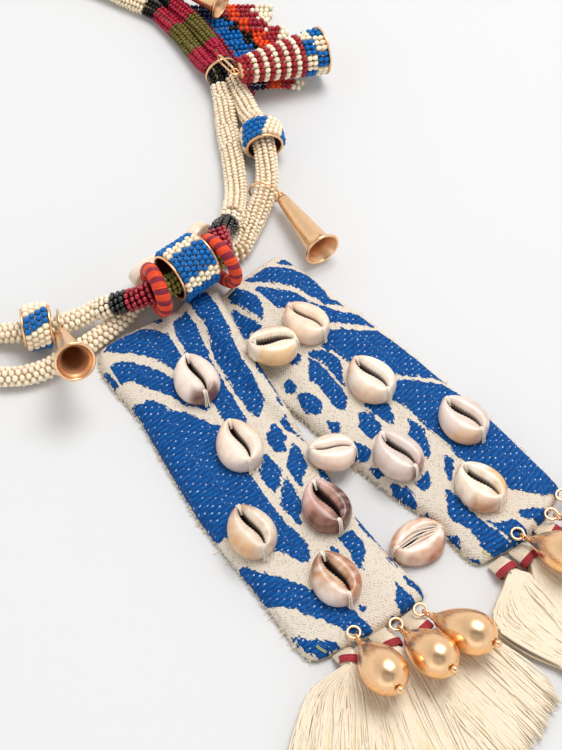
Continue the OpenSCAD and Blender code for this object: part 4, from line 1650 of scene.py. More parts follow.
@dataclass
class Drops:
    """Six metal tears on pins with ball ends, each on a small jump ring."""

    kit: Kit
    length: float = 23.0
    width: float = 14.0
    ball_d: float = 2.6
    fullness: float = 0.82
    eye_back: float = 1.6
    rows: tuple = (
        (-42.2, -148.4, 7.1, -98.6, 22), (-29, -153.9, 5.7, -89, 26), (-19.1, -155, 6.6, -71.7, 18),
        (22.7, -154.1, 6.8, -72, 20), (37, -155.1, 6.2, -62, 21), (46, -151, 5.9, -38, 22),
    )

    def profile(self) -> Outline:
        """Outline of the tear.

        Returns:
            Radius and place along the axis, from the collar to the hole for the pin.
        """
        turns, every = np.radians(np.arange(29, 173, 4)), np.radians(np.arange(0, 181))
        swell, whole = (np.sin(a) * np.sin(a / 2) ** self.fullness for a in (turns, every))
        radii = self.width / 2 * swell / whole.max()
        end = self.length
        tear = [(r, end * (1 - math.cos(a)) / 2) for r, a in zip(radii, turns)]
        hole = [(0.9, end - 0.02), (0.75, end - 0.5), (PIN_R, end - 0.6), (PIN_R, end + 1), (0, end + 1)]
        return [(0, 0), (0.9, 0), (1.15, 0.2), (1.2, 0.5)] + tear + hole

    def build(self) -> None:
        """Make each drop and its jump ring."""
        pin = [(0, -0.3), (PIN_R, -0.3), (PIN_R, 0.5), (0, 0.5)]
        ball_r = self.ball_d / 2
        turns = np.linspace(0, math.pi, 13)
        ball = [(ball_r * math.sin(a), self.length + 1 - ball_r * math.cos(a)) for a in turns]
        for number, (x, y, z, heading, pitch) in enumerate(self.rows, start=1):
            place = Placement((x, y, z), heading, pitch)
            points, faces = spun(self.profile(), 56)
            near_hole = (points[:, 0] > self.length - 1.2) & (np.hypot(points[:, 1], points[:, 2]) < 1.1)
            drop = Workpiece().add(place.place(points), faces, inside=near_hole * 0.9)
            drop.eye(place, [1, 0, 2], self.eye_back).turned(pin, 16, place).turned(ball, 24, place)
            self.kit.forge(drop, f"gold_tear_{number}", f"drop_{number}")
            turn, tilt = math.radians(heading), math.radians(pitch)
            back = self.eye_back * math.cos(tilt) + 2.4
            at = (x - back * math.cos(turn), y - back * math.sin(turn), z - self.eye_back * math.sin(tilt))
            ring_at = Placement(at, 0, 90)
            self.kit.wire_ring(f"jump_wire_{number}", f"drop_ring_{number}", ring_at, 4.0, 0.9, 40)


# Pads

PAD_H = 6.2
SEAM_H = 1.8
EDGE_ROUND = 12.0
HEM_SHARE = 0.36
TUCK_H = 2.9
DENT_REACH = 1.8
LEFT_OUTLINE = (
    (0, -24.2, 24), (9, -26.7, 23), (17, -26.5, 22.2), (25, -25.4, 21.2), (33, -24.8, 20.5),
    (55, -26.3, 19.2), (76, -27.2, 18.4), (90, -26.5, 17.4), (103, -25.3, 17.2),
    (116, -24.6, 18.2), (131, -23.9, 20.4), (140, -22, 21.4),
)
RIGHT_OUTLINE = (
    (0, -17, 18.5), (15, -21, 20), (28, -23.4, 20.3), (38, -24.4, 21.6), (47, -24.3, 22.3),
    (56, -23.4, 22.4), (82, -23.2, 22.6), (98, -22.2, 23), (107, -20.6, 22.6), (114, -19.4, 22),
    (128, -20.8, 21), (140, -20.4, 19.5),
)
OVERLAP_WIDTH = ((0, 9), (5, 8.6), (17, 6.2), (30, 4.4), (40, 3.2), (51, 1.6), (58, 0.4), (68, -8))
OVERLAP_EDGE = ((0, -9.5), (15, -15.2), (28, -19.4), (38, -21.5), (49, -23.3), (57, -26), (70, -36))

LEFT_BLUES: list[Outline] = [
    [(-22.7, 3.1), (-19.9, 1.4), (-8.4, 2.1), (-3.4, 5.3), (-0.6, 9.6), (-0.6, 12.4), (-1.6, 20.6),
     (-6.3, 23.1), (-9.1, 16), (-13.4, 11.4), (-18.4, 6.7), (-21.3, 4.2)],
    [(-2.7, 1.2), (0.5, 1.6), (0.5, 3.4), (-1.4, 2.8)],
    [(-26.6, 10), (-25.2, 11), (-25, 18), (-27, 18)],
    [(-24, 10.3), (-21.3, 9.9), (-18.1, 12.4), (-13.4, 17.4), (-10.6, 21.7), (-9.1, 25.3), (-5.2, 34),
     (-3, 42), (-4.8, 43.1), (-9.9, 37.4), (-11.3, 34.6), (-13.4, 30.3), (-15.9, 26.4), (-18.1, 22.8),
     (-20.6, 19.6), (-24, 18.1)],
    [(-28, 26), (-26, 27), (-21.3, 29.2), (-19.5, 28.9), (-16.6, 33.1), (-15.2, 37.4), (-11.3, 40.3),
     (-8.4, 45.3), (-6.3, 48.9), (-4.1, 51.4), (-4.9, 70.9), (-5.4, 80.9), (-4.9, 95.1), (-3.4, 99.4),
     (-3.1, 103.7), (-4.5, 108), (-6.3, 109.4), (-8.4, 106.6), (-9.9, 103), (-12.4, 100.5),
     (-23.8, 87.3), (-29, 85), (-29, 60)],
    [(9.8, 4.9), (3, 6.4), (2.1, 10.3), (1.9, 13.1), (1.2, 17.4), (0.7, 20.6), (-1.3, 41.7),
     (-1.6, 48.9), (-1.3, 51.4), (3.4, 58), (4.1, 54.6), (4.4, 50.3), (5.1, 46), (5.5, 38.9),
     (5.9, 36), (6.2, 26), (7.3, 23.1), (7.6, 20.3), (8.4, 15.3), (9.4, 11.7), (9.6, 6)],
    [(11.7, 1.7), (11.6, 9.6), (12.6, 12.4), (11.2, 16.7), (10.5, 20.3), (9.4, 23.1), (8.6, 26.7),
     (8, 30.3), (7.6, 36), (7.3, 41.7), (7.3, 50.3), (7.6, 53.9), (8.7, 54.6), (10.9, 52.4),
     (13.4, 51), (14.4, 47.4), (14.4, 44.6), (15.1, 38.9), (15.1, 33.1), (16.2, 27.4), (16.6, 23.1),
     (18, 19.6), (18.4, 15.3), (19.8, 8.9), (19.1, 1.7)],
    [(20.4, 28.1), (20, 31.7), (18.4, 36), (17.4, 38.9), (18.4, 42.4), (18.4, 45.3), (19.1, 48.1),
     (21, 48), (22, 28)],
    [(18.7, 49.2), (18, 51), (16.9, 53.1), (17.3, 56), (18.4, 53.1), (19.1, 50.3)],
    [(7.3, 62.1), (9.1, 61.4), (10.9, 59.9), (11.9, 59.6), (12.6, 62.4), (12.3, 66), (10.9, 67.4),
     (10.1, 70.3), (8, 70.6), (6.9, 70.3), (6.2, 66), (6.6, 63.1)],
    [(14.4, 59.9), (16.6, 59), (16.4, 63.1), (17, 67.4), (17.1, 69.6), (15.9, 66), (14, 63.9),
     (13.7, 61.7)],
    [(3, 68.4), (3.7, 70.1), (4.3, 72.3), (4.3, 76.6), (2.3, 78.7), (0.5, 80.5), (-1.6, 82.3),
     (-2.4, 80.1), (-2.4, 75.1), (-1.6, 72.3), (0.1, 70.9), (1.6, 69.4)],
    [(13.4, 69.4), (13.5, 75.1), (13, 78), (10.9, 80.5), (8, 82.3), (6.9, 85), (6.4, 82.3),
     (6.6, 78.7), (6.9, 75.1), (8.4, 73.7), (10.1, 72.3), (11.6, 70.9)],
    [(17.4, 81), (15.1, 82.3), (14.8, 84.4), (15.1, 89.4), (15.9, 92.3), (17.4, 92)],
    [(4.1, 79.8), (4.3, 84.4), (3.7, 89.4), (1.6, 92.3), (0.1, 94.4), (-0.9, 96.2), (-1.6, 95.1),
     (-2.4, 90.9), (-2.4, 87.3), (-1.6, 85.1), (0.9, 82.3), (2.3, 80.9)],
    [(3.7, 106.9), (4.1, 109.4), (3.7, 111.6), (3, 113.7), (1.9, 110.9), (2.3, 108.7)],
    [(6.6, 106.6), (12.3, 106.9), (12.9, 110.9), (12.3, 113.7), (10.9, 115.9), (9.1, 117.3),
     (8, 118), (7.6, 119.8), (6.9, 119.4), (6.6, 115.9), (6.9, 110.9)],
    [(16.4, 102.3), (17.3, 105.1), (18, 109.4), (18.4, 113.7), (18, 116.6), (17.3, 116.6),
     (16.6, 112.3), (15.5, 108.7), (15.1, 106.6), (15.9, 105.1)],
    [(16.9, 120.1), (18, 120.5), (17.6, 123), (17.3, 124.4), (16.6, 122.3)],
    [(17.3, 128.7), (18.4, 130.1), (19.8, 133.7), (19.8, 136.6), (19.3, 139.4), (18.7, 136),
     (17.6, 133.7), (16.9, 131.6)],
    [(-26.5, 99), (-23.8, 99.1), (-22.7, 100.9), (-20.2, 104.1), (-18.8, 106.6), (-16.6, 108.7),
     (-12.7, 113.7), (-10.6, 117.3), (-8.4, 119.4), (-2.4, 130.1), (-2.4, 132.3), (-1.3, 135.9),
     (-1.6, 138.7), (-3.1, 139.4), (-5.6, 136.6), (-8.4, 133.7), (-11.3, 130.1), (-13.1, 127.3),
     (-15.6, 124.4), (-17.7, 120.9), (-19.1, 118.7), (-24.1, 114.4), (-26, 110.9)],
    [(-0.7, 129), (0.6, 129.2), (0.7, 131), (-0.4, 131.2)],
    [(-23.4, 127.3), (-23.1, 130.1), (-22.7, 132.3), (-21.3, 134.4), (-19.5, 138), (-17, 138.4),
     (-16.6, 136.6), (-12.7, 137.6), (-13.8, 135.1), (-16.3, 133.7), (-17.7, 132.3), (-20.2, 130.9),
     (-22, 128.7)],
    [(13, 130.1), (14.1, 128.7), (14.4, 130.9), (15.5, 134.4), (15.9, 137.3), (15.7, 140),
     (9.8, 139.8), (10.1, 135.9), (10.1, 133.7), (12.3, 131.6)],
    [(6.4, 137.2), (7.7, 137.4), (7.6, 138.9), (6.3, 138.8)],
]
RIGHT_BLUES: list[Outline] = [
    [(-8.2, 3.1), (-4.3, 3.1), (-2.5, 6.7), (-1.8, 10.3), (-2.5, 13.9), (-4.3, 16.7), (-6.4, 18.9),
     (-7.3, 19.6), (-7.5, 14.6), (-7.9, 8.9), (-8.6, 5.3)],
    [(-11.8, 8.9), (-10.4, 8.1), (-10, 11.7), (-9.3, 21), (-10.7, 21.7), (-12.9, 19.6), (-14.6, 21),
     (-16.4, 19.2), (-15.4, 15.3), (-15.4, 12.4), (-13.2, 9.6)],
    [(0.4, 3.1), (6.4, 3.5), (10.4, 4.2), (14.3, 8.1), (17.5, 13.1), (18.6, 17.4), (18.2, 21),
     (17.5, 24.6), (16.8, 28.9), (17.9, 31.7), (17.9, 33.9), (15.7, 31.7), (13.2, 29.6), (13.2, 26),
     (11.8, 22.4), (10.7, 17.4), (9.3, 13.9), (5.7, 9.6), (2.9, 6.7)],
    [(13.6, 4.4), (18.2, 4.6), (18.6, 9.6), (16.4, 8.1), (14.6, 6)],
    [(0, 8.5), (1.4, 8.1), (3.6, 11), (5, 13.1), (7.1, 16), (8.9, 19.6), (9.3, 24.6), (11.1, 27.4),
     (12.9, 31), (15.4, 36), (17.9, 38.1), (19.6, 41), (20, 48), (16.4, 44.6), (13.6, 41),
     (10, 37.4), (7.9, 34.6), (6.4, 31.7), (5.7, 26.7), (4.3, 23.1), (2.1, 21), (0.4, 19.6)],
    [(0.4, 41.7), (2.9, 40.3), (5.7, 36.4), (7.9, 39.6), (10, 41), (12.9, 44.6), (15.7, 47.4),
     (19.3, 50.3), (20.9, 60.3), (21.5, 80.9), (19.3, 77.3), (15.7, 73), (11.4, 68.7), (6, 62),
     (3.4, 57), (2.5, 52)],
    [(4.6, 62), (9.3, 70.1), (12.1, 72.3), (15.7, 76.6), (19.3, 80.1), (20.4, 84.4), (24, 88),
     (24, 141), (17, 141), (15.7, 137.3), (15, 133.7), (12.1, 130.9), (10, 127.3), (5.7, 121.6),
     (5, 118), (5, 112.3), (2.5, 106.6), (2.5, 103), (3.6, 98.7), (3.2, 91.6), (3.6, 83.7),
     (3.9, 78.7), (2.9, 75.9), (3.4, 68)],
    [(-6.4, 42.1), (-5.4, 46), (-5.7, 50.3), (-6.4, 54.6), (-7.9, 62.4), (-10, 63.9), (-12.5, 66.4),
     (-13.7, 61), (-12.9, 57.4), (-12.1, 53.1), (-12.3, 48.9), (-9.3, 45.3)],
    [(-5.4, 40.6), (-2.9, 41.7), (-0.7, 43.5), (0.4, 46), (0.4, 50.3), (-1.4, 53.1), (-3.2, 55.3),
     (-5.4, 58.9), (-5, 54.6), (-4.3, 50.3), (-4.3, 45.3), (-5.7, 42.4)],
    [(-19.3, 43.1), (-17.1, 43.1), (-16.9, 46), (-18.2, 48.5), (-19.6, 48.1), (-20.4, 46)],
    [(-18.9, 49.9), (-16.8, 51.4), (-15.7, 54.6), (-16.1, 58.1), (-18.2, 60.6), (-20.4, 59.6),
     (-21.4, 56.7), (-20.7, 53.9)],
    [(-19.3, 64.2), (-17.1, 67.4), (-17.5, 69.2), (-19.3, 70.3), (-20.7, 68.9), (-20.4, 66.4)],
    [(-13.2, 38.5), (-7.9, 38.1), (-8.2, 40.3), (-10.4, 41.7), (-12.9, 40.6)],
    [(-9.3, 69.8), (-7.5, 70.9), (-7.1, 75.1), (-7.5, 78.7), (-9.3, 79.8), (-12.9, 79.8),
     (-13.9, 79.1), (-13.2, 73.4), (-11.4, 72.3)],
    [(-5.7, 68.7), (0.7, 73.7), (-1.4, 77.3), (-2.9, 79.8), (-5, 81.2), (-5.4, 77.3), (-6.1, 73.7)],
    [(0.7, 83), (1.4, 85.9), (1.4, 88.7), (0, 92.6), (-1.8, 94.4), (-2.9, 96.6), (-5.7, 98),
     (-5, 92.3), (-4.6, 89.1), (-2.5, 86.6)],
    [(-0.4, 101.2), (-0.1, 103.7), (-2.1, 105.9), (-5, 108), (-6.1, 109.1), (-6.1, 106.9),
     (-4.3, 104.4)],
    [(-19.6, 73), (-18.6, 76.6), (-17.1, 78.7), (-17.1, 82.3), (-18.6, 84.1), (-20, 85.1),
     (-21.4, 83), (-21.8, 80.9), (-21.4, 76.6)],
    [(-21.3, 87.3), (-19.6, 88.6), (-19.4, 91.4), (-20.4, 92.6), (-21.6, 90.4)],
    [(-20.7, 95.5), (-19.3, 98), (-17.9, 100.9), (-18.2, 103.7), (-20.4, 107.6), (-22.1, 105.9),
     (-23.6, 103.7), (-23.9, 100.9)],
    [(-15, 101.6), (-8.9, 101.2), (-11.8, 104.8), (-14.3, 105.9), (-15, 103.7)],
    [(-20.7, 108.7), (-19.3, 110.9), (-19.3, 113.7), (-20.7, 114.8), (-22.1, 113), (-21.4, 110.1)],
    [(-9.3, 109.4), (-8.9, 113.7), (-9.6, 118), (-9.3, 127.3), (-8.2, 133.7), (-8.9, 136.2),
     (-14.6, 136.2), (-15.4, 132.3), (-15.4, 128.7), (-14.6, 123.7), (-15.4, 120.9), (-15, 116.6),
     (-13.9, 114.4), (-12.1, 112.3)],
    [(-20.7, 119.4), (-18.9, 121.6), (-18.6, 124.4), (-20.7, 127.3), (-21.8, 129.1), (-22.9, 127.3),
     (-23.6, 124.4)],
    [(-21.1, 130.1), (-20, 131.6), (-18.9, 134.4), (-20, 135.9), (-21.8, 135.9), (-22.5, 133.7)],
    [(-7.9, 125.1), (-6.4, 127.3), (-1.8, 129.4), (-1.1, 132.3), (-1.4, 136.6), (-2.5, 137.6),
     (-6.4, 136.9), (-7.3, 135.1), (-7.1, 130.9)],
    [(0.4, 128), (2.9, 128.7), (5.7, 130.9), (7.9, 133), (10, 135.9), (11.1, 138.7), (5.7, 137.3),
     (3.9, 134.4), (2.1, 131.6)],
    [(1.1, 135.1), (2.9, 137.9), (0.8, 138)],
]


def read_column(table: Sequence[Sequence[float]], at: Array, column: int) -> Array:
    """Read a table between its rows, and beyond its ends along its last rows.

    Args:
        table: Rows whose first number rises.
        at: Where to read.
        column: Which number of a row.

    Returns:
        The numbers.
    """
    rows = np.asarray(table, dtype=float)
    low = np.clip(np.searchsorted(rows[:, 0], at, side="right") - 1, 0, len(rows) - 2)
    share = (at - rows[low, 0]) / (rows[low + 1, 0] - rows[low, 0])
    return rows[low, column] + (rows[low + 1, column] - rows[low, column]) * share


def eased(share: Array) -> Array:
    """Ease a share between 0 and 1."""
    u = np.clip(share, 0, 1)
    return u * u * (3 - 2 * u)


def bulge(distance: Array, reach: float = EDGE_ROUND) -> Array:
    """Rise like a quarter circle over a distance from an edge."""
    return np.sqrt(1 - (1 - np.clip(distance / reach, 0, 1)) ** 2)


def inside_distance(x: Array, y: Array, shapes: list[Outline]) -> Array:
    """Measure how far points lie inside the nearest of some outlines.

    Args:
        x: Places across.
        y: Places down.
        shapes: Closed outlines.

    Returns:
        The distance, below 0 outside every outline.
    """
    tiny = 1e-12
    best = np.full(x.shape, -50.0)
    for shape in shapes:
        nearest = np.full(x.shape, 1e9)
        inside = np.zeros(x.shape, dtype=bool)
        for (ax, ay), (bx, by) in zip(shape, shape[1:] + shape[:1]):
            dx, dy = bx - ax, by - ay
            share = np.clip(((x - ax) * dx + (y - ay) * dy) / (dx * dx + dy * dy + tiny), 0, 1)
            nearest = np.minimum(nearest, np.hypot(x - ax - share * dx, y - ay - share * dy))
            inside ^= ((ay > y) != (by > y)) & (x < dx * (y - ay) / (dy + tiny) + ax)
        best = np.maximum(best, np.where(inside, nearest, -nearest))
    return best


def ripple(x: Array, y: Array, seed: int, size: float) -> Array:
    """Gentle unevenness from a few crossing waves, between about -1 and 1.

    Args:
        x: Places across.
        y: Places down.
        seed: Picks the waves.
        size: Their length.

    Returns:
        The height.
    """
    rng = np.random.default_rng(seed)
    total = np.zeros_like(x)
    for _ in range(7):
        turn, phase = rng.uniform(0, math.pi), rng.uniform(0, FULL_TURN)
        pace = FULL_TURN / (size * rng.uniform(0.7, 1.6))
        total += np.sin(pace * (x * math.cos(turn) + y * math.sin(turn)) + phase)
    return total / 4


@dataclass
class Pad:
    """One padded strip of woven cloth."""

    name: str
    at: tuple[float, float]
    turn: float
    outline: tuple
    length: float
    bow: float
    under: bool
    blues: list[Outline]
    seed: int
    columns: int = 92
    rows: int = 236
    frays: int = 420
    dent: float = 0.8
    relief: float = 0.16

    def grid(self) -> tuple[Array, Array, Array]:
        """Lay out places across and down the pad, closer together near its edges.

        Returns:
            Places across, places down, and the distance to the nearer side.
        """
        t = np.linspace(0, 1, self.rows)
        down = np.clip(self.length * (t - 0.035 * np.sin(2 * FULL_TURN * t) / math.pi), 0, self.length)
        left = (read_column(self.outline, down, 1) + self.corner(down))[:, None]
        right = (read_column(self.outline, down, 2) - self.corner(down))[:, None]
        u = np.linspace(0, 1, self.columns)
        across = left + (u - 0.07 * np.sin(FULL_TURN * u)) * (right - left)
        side = np.minimum(across - left, right - across)
        return across, np.repeat(down[:, None], self.columns, axis=1), side

    def corner(self, down: Array) -> Array:
        """Inset of the sides at the pad's rounded corners."""
        return 4 * (1 - bulge(np.minimum(down, self.length - down), 4))

    def levels(self, x: Array, s: Array, thick: Array) -> tuple[Array, Array]:
        """Lay the pad on the floor or, where it laps over the other one, on that.

        Args:
            x: Places across.
            s: Places down.
            thick: The pad's thickness.

        Returns:
            Heights of its lower and its upper face.
        """
        if self.under:
            cap = TUCK_H + (PAD_H - TUCK_H) * eased((x - read_column(OVERLAP_EDGE, s, 1) - 1) / 9)
            return np.zeros_like(x), np.minimum(thick, cap)
        start = read_column(self.outline, s, 2) - read_column(OVERLAP_WIDTH, s, 1) - 7.8
        low = (TUCK_H + 0.4) * eased((x - start) / 7) * eased((70 - s) / 12)
        return low, low + thick

    def build(self, kit: Kit, dents: Sequence[tuple[float, float]]) -> None:
        """Make the pad.

        Args:
            kit: Shared tools.
            dents: Where stitches pull the cloth down.
        """
        x, s, side = self.grid()
        end = np.minimum(s, self.length - s)
        edge = np.minimum(side, end)
        thick = SEAM_H + (PAD_H - SEAM_H) * bulge(side) * (HEM_SHARE + (1 - HEM_SHARE) * bulge(end))
        low, high = self.levels(x, s, thick)
        rim, middle = bulge(edge, 2.2), SEAM_H / 2
        dye = inside_distance(x, s, self.blues)
        soft = self.relief * (ripple(x, s, self.seed, 17) - 1) * eased(edge / 8)
        folds = np.sin(FULL_TURN * s / 2.9 + 2 * ripple(x, s, self.seed + 1, 9))
        pucker = self.relief * np.exp(-edge / 2.6) * folds
        raised = self.relief * eased((dye + 0.15) / 0.5) + 0.05 * ripple(x, s, self.seed + 2, 3.2)
        top = low + middle + (high - low - middle + soft + pucker + raised) * rim
        bottom = low + middle * (1 - rim)
        left, right = x[:, :1], x[:, -1:]
        sag = np.sin(math.pi * np.clip((x - left) / (right - left), 0, 1))
        down = s + self.bow * sag * eased((s - self.length + 40) / 40)
        cosine, sine = math.cos(math.radians(self.turn)), math.sin(math.radians(self.turn))
        wx = self.at[0] + x * cosine + down * sine
        wy = self.at[1] + x * sine - down * cosine
        for dent_x, dent_y in dents:
            top -= self.dent * np.exp(-((wx - dent_x) ** 2 + (wy - dent_y) ** 2) / DENT_REACH**2) * rim
        upper, lower = (np.stack([wx, wy, level], -1) for level in (top, bottom))
        self.cloth(kit, upper, lower, np.stack([x, s, np.zeros_like(x)], -1), dye)
        self.fray(kit, upper, lower)

    def cloth(self, kit: Kit, top: Array, bottom: Array, lay: Array, dye: Array) -> None:
        """Join the two faces at the rim and hand the pad over.

        Args:
            kit: Shared tools.
            top: Points of the upper face.
            bottom: Points of the lower face.
            lay: Places across and down.
            dye: Distance inside the blue shapes.
        """
        m, n = dye.shape
        cells = [(i * n + j, i * n + j + 1, (i + 1) * n + j + 1, (i + 1) * n + j)
                 for i in range(m - 1) for j in range(n - 1)]
        lay = lay.reshape(-1, 3)
        cloth = Workpiece().add(top.reshape(-1, 3), cells, lay=lay, dye=np.clip(dye, -4, 4).ravel())
        under = [cell[::-1] for cell in cells]
        cloth.add(bottom.reshape(-1, 3), under, lay=lay * [-1, 1, 1], dye=np.full(m * n, -3.0))
        piece = kit.forge(cloth, self.name + "_cloth", self.name, finish=kit.finish.cloth, slot=Slot.CLOTH)

    def fray(self, kit: Kit, top: Array, bottom: Array) -> None:
        """Let short thread ends stand out of both side seams, and stitch the hem's corner.

        Args:
            kit: Shared tools.
            top: Points of the upper face.
            bottom: Points of the lower face.
        """
        rng = np.random.default_rng(self.seed)
        threads = ThreadList()
        for _ in range(self.frays):
            row = int(rng.integers(4, self.rows - 4))
            edge, inner = (0, 2) if rng.random() < 0.62 else (-1, -3)
            start = (top[row, edge] + bottom[row, edge]) / 2
            start = start + rng.uniform(-0.3, 0.5) * np.array([0, 0, 1.0])
            out = top[row, edge] - top[row, inner]
            out = out / np.linalg.norm(out) + rng.normal(0, 0.55, 3)
            reach = rng.uniform(0.5, 1.5)
            line = np.array([start - 0.3 * out, start + 0.5 * reach * out, start + reach * out])
            line[1:, 2] += rng.uniform(-0.5, 0.4)
            line[:, 2] = np.maximum(line[:, 2], 0.15)
            threads.add(line, rng.uniform(0.18, 0.3), shade(Dye.COTTON, rng, 0.05))
        corner = top[-9:-2, 14]
        for shift in (0.0, 0.5, 1.0):
            threads.add(corner + [shift, 0.2 * shift, 0.12], 0.34, Dye.HEM_GREEN.value)
        kit.draw(threads, self.name + "_loose_ends", Slot.CLOTH, sides=4)


# Cowries


@dataclass(frozen=True)
class ShellLook:
    """Screen colours of one shell: its ground, and patches of a colour, a turn, a reach and a strength."""

    ground: tuple[int, int, int]
    patches: tuple[tuple[tuple[int, int, int], float, float, float], ...]
    mottle: float = 0.15


TAN = (222, 176, 126)
PLAIN_SHELL = ShellLook((246, 234, 214), ((TAN, 120, 0.7, 0.3),))
SHELL_LOOKS = {
    1: ShellLook((244, 230, 220), (((128, 92, 78), 0, 0.55, 1), (TAN, 150, 0.5, 0.3)), 0.05),
    2: ShellLook((244, 230, 216), ((TAN, 150, 0.7, 0.5), (TAN, -120, 0.5, 0.4)), 0.1),
    3: ShellLook((232, 218, 200), (((146, 94, 62), 180, 0.5, 0.85), (TAN, -70, 0.7, 0.8)), 0.22),
    4: ShellLook((196, 150, 132), (((84, 40, 32), 62, 0.9, 1), ((226, 196, 188), 200, 0.8, 0.8),
                                   ((122, 78, 60), -40, 0.8, 0.8)), 0.35),
    5: ShellLook((210, 172, 136), (((176, 112, 70), 80, 0.9, 0.95), ((150, 96, 62), 190, 0.8, 0.8),
                                   ((236, 222, 214), -50, 0.6, 0.9)), 0.55),
    6: ShellLook((248, 236, 214), (((232, 190, 130), -90, 0.7, 0.8), ((176, 118, 88), 100, 0.5, 0.8)), 0.1),
    7: ShellLook((246, 230, 216), (((238, 208, 184), -90, 0.8, 0.5),), 0.05),
    8: ShellLook((246, 232, 218), (((204, 128, 66), 150, 0.45, 0.8), ((182, 112, 66), 290, 0.5, 0.75),
                                   ((216, 146, 92), 40, 0.4, 0.6)), 0.4),
    9: ShellLook((248, 226, 202), (((226, 158, 120), 165, 0.5, 0.8),), 0.1),
    10: ShellLook((244, 234, 220), (((224, 172, 128), 200, 0.5, 0.8), (TAN, -60, 0.6, 0.5)), 0.08),
    11: ShellLook((232, 218, 208), ((TAN, -50, 0.5, 0.7), ((200, 182, 176), 80, 0.7, 0.5)), 0.1),
    12: ShellLook((222, 207, 199), (((158, 116, 108), 14, 0.4, 1),), 0.08),
    13: ShellLook((246, 236, 220), (((226, 176, 104), 70, 0.7, 0.85), ((196, 140, 94), -40, 0.45, 0.8)),
                  0.25),
}
SLIT_GAPE = {7: 0.3, 8: 0.4, 9: 0.5, 4: 1.3, 5: 1.0, 6: 1.2}
SHELL_SECTION = (
    (0, 0.78), (0.05, 0.86), (0.1, 0.905), (0.17, 0.95), (0.26, 0.985), (0.38, 1), (0.5, 0.995),
    (0.62, 0.965), (0.73, 0.905), (0.82, 0.82), (0.89, 0.72), (0.95, 0.59), (0.985, 0.46), (1, 0.32),
)


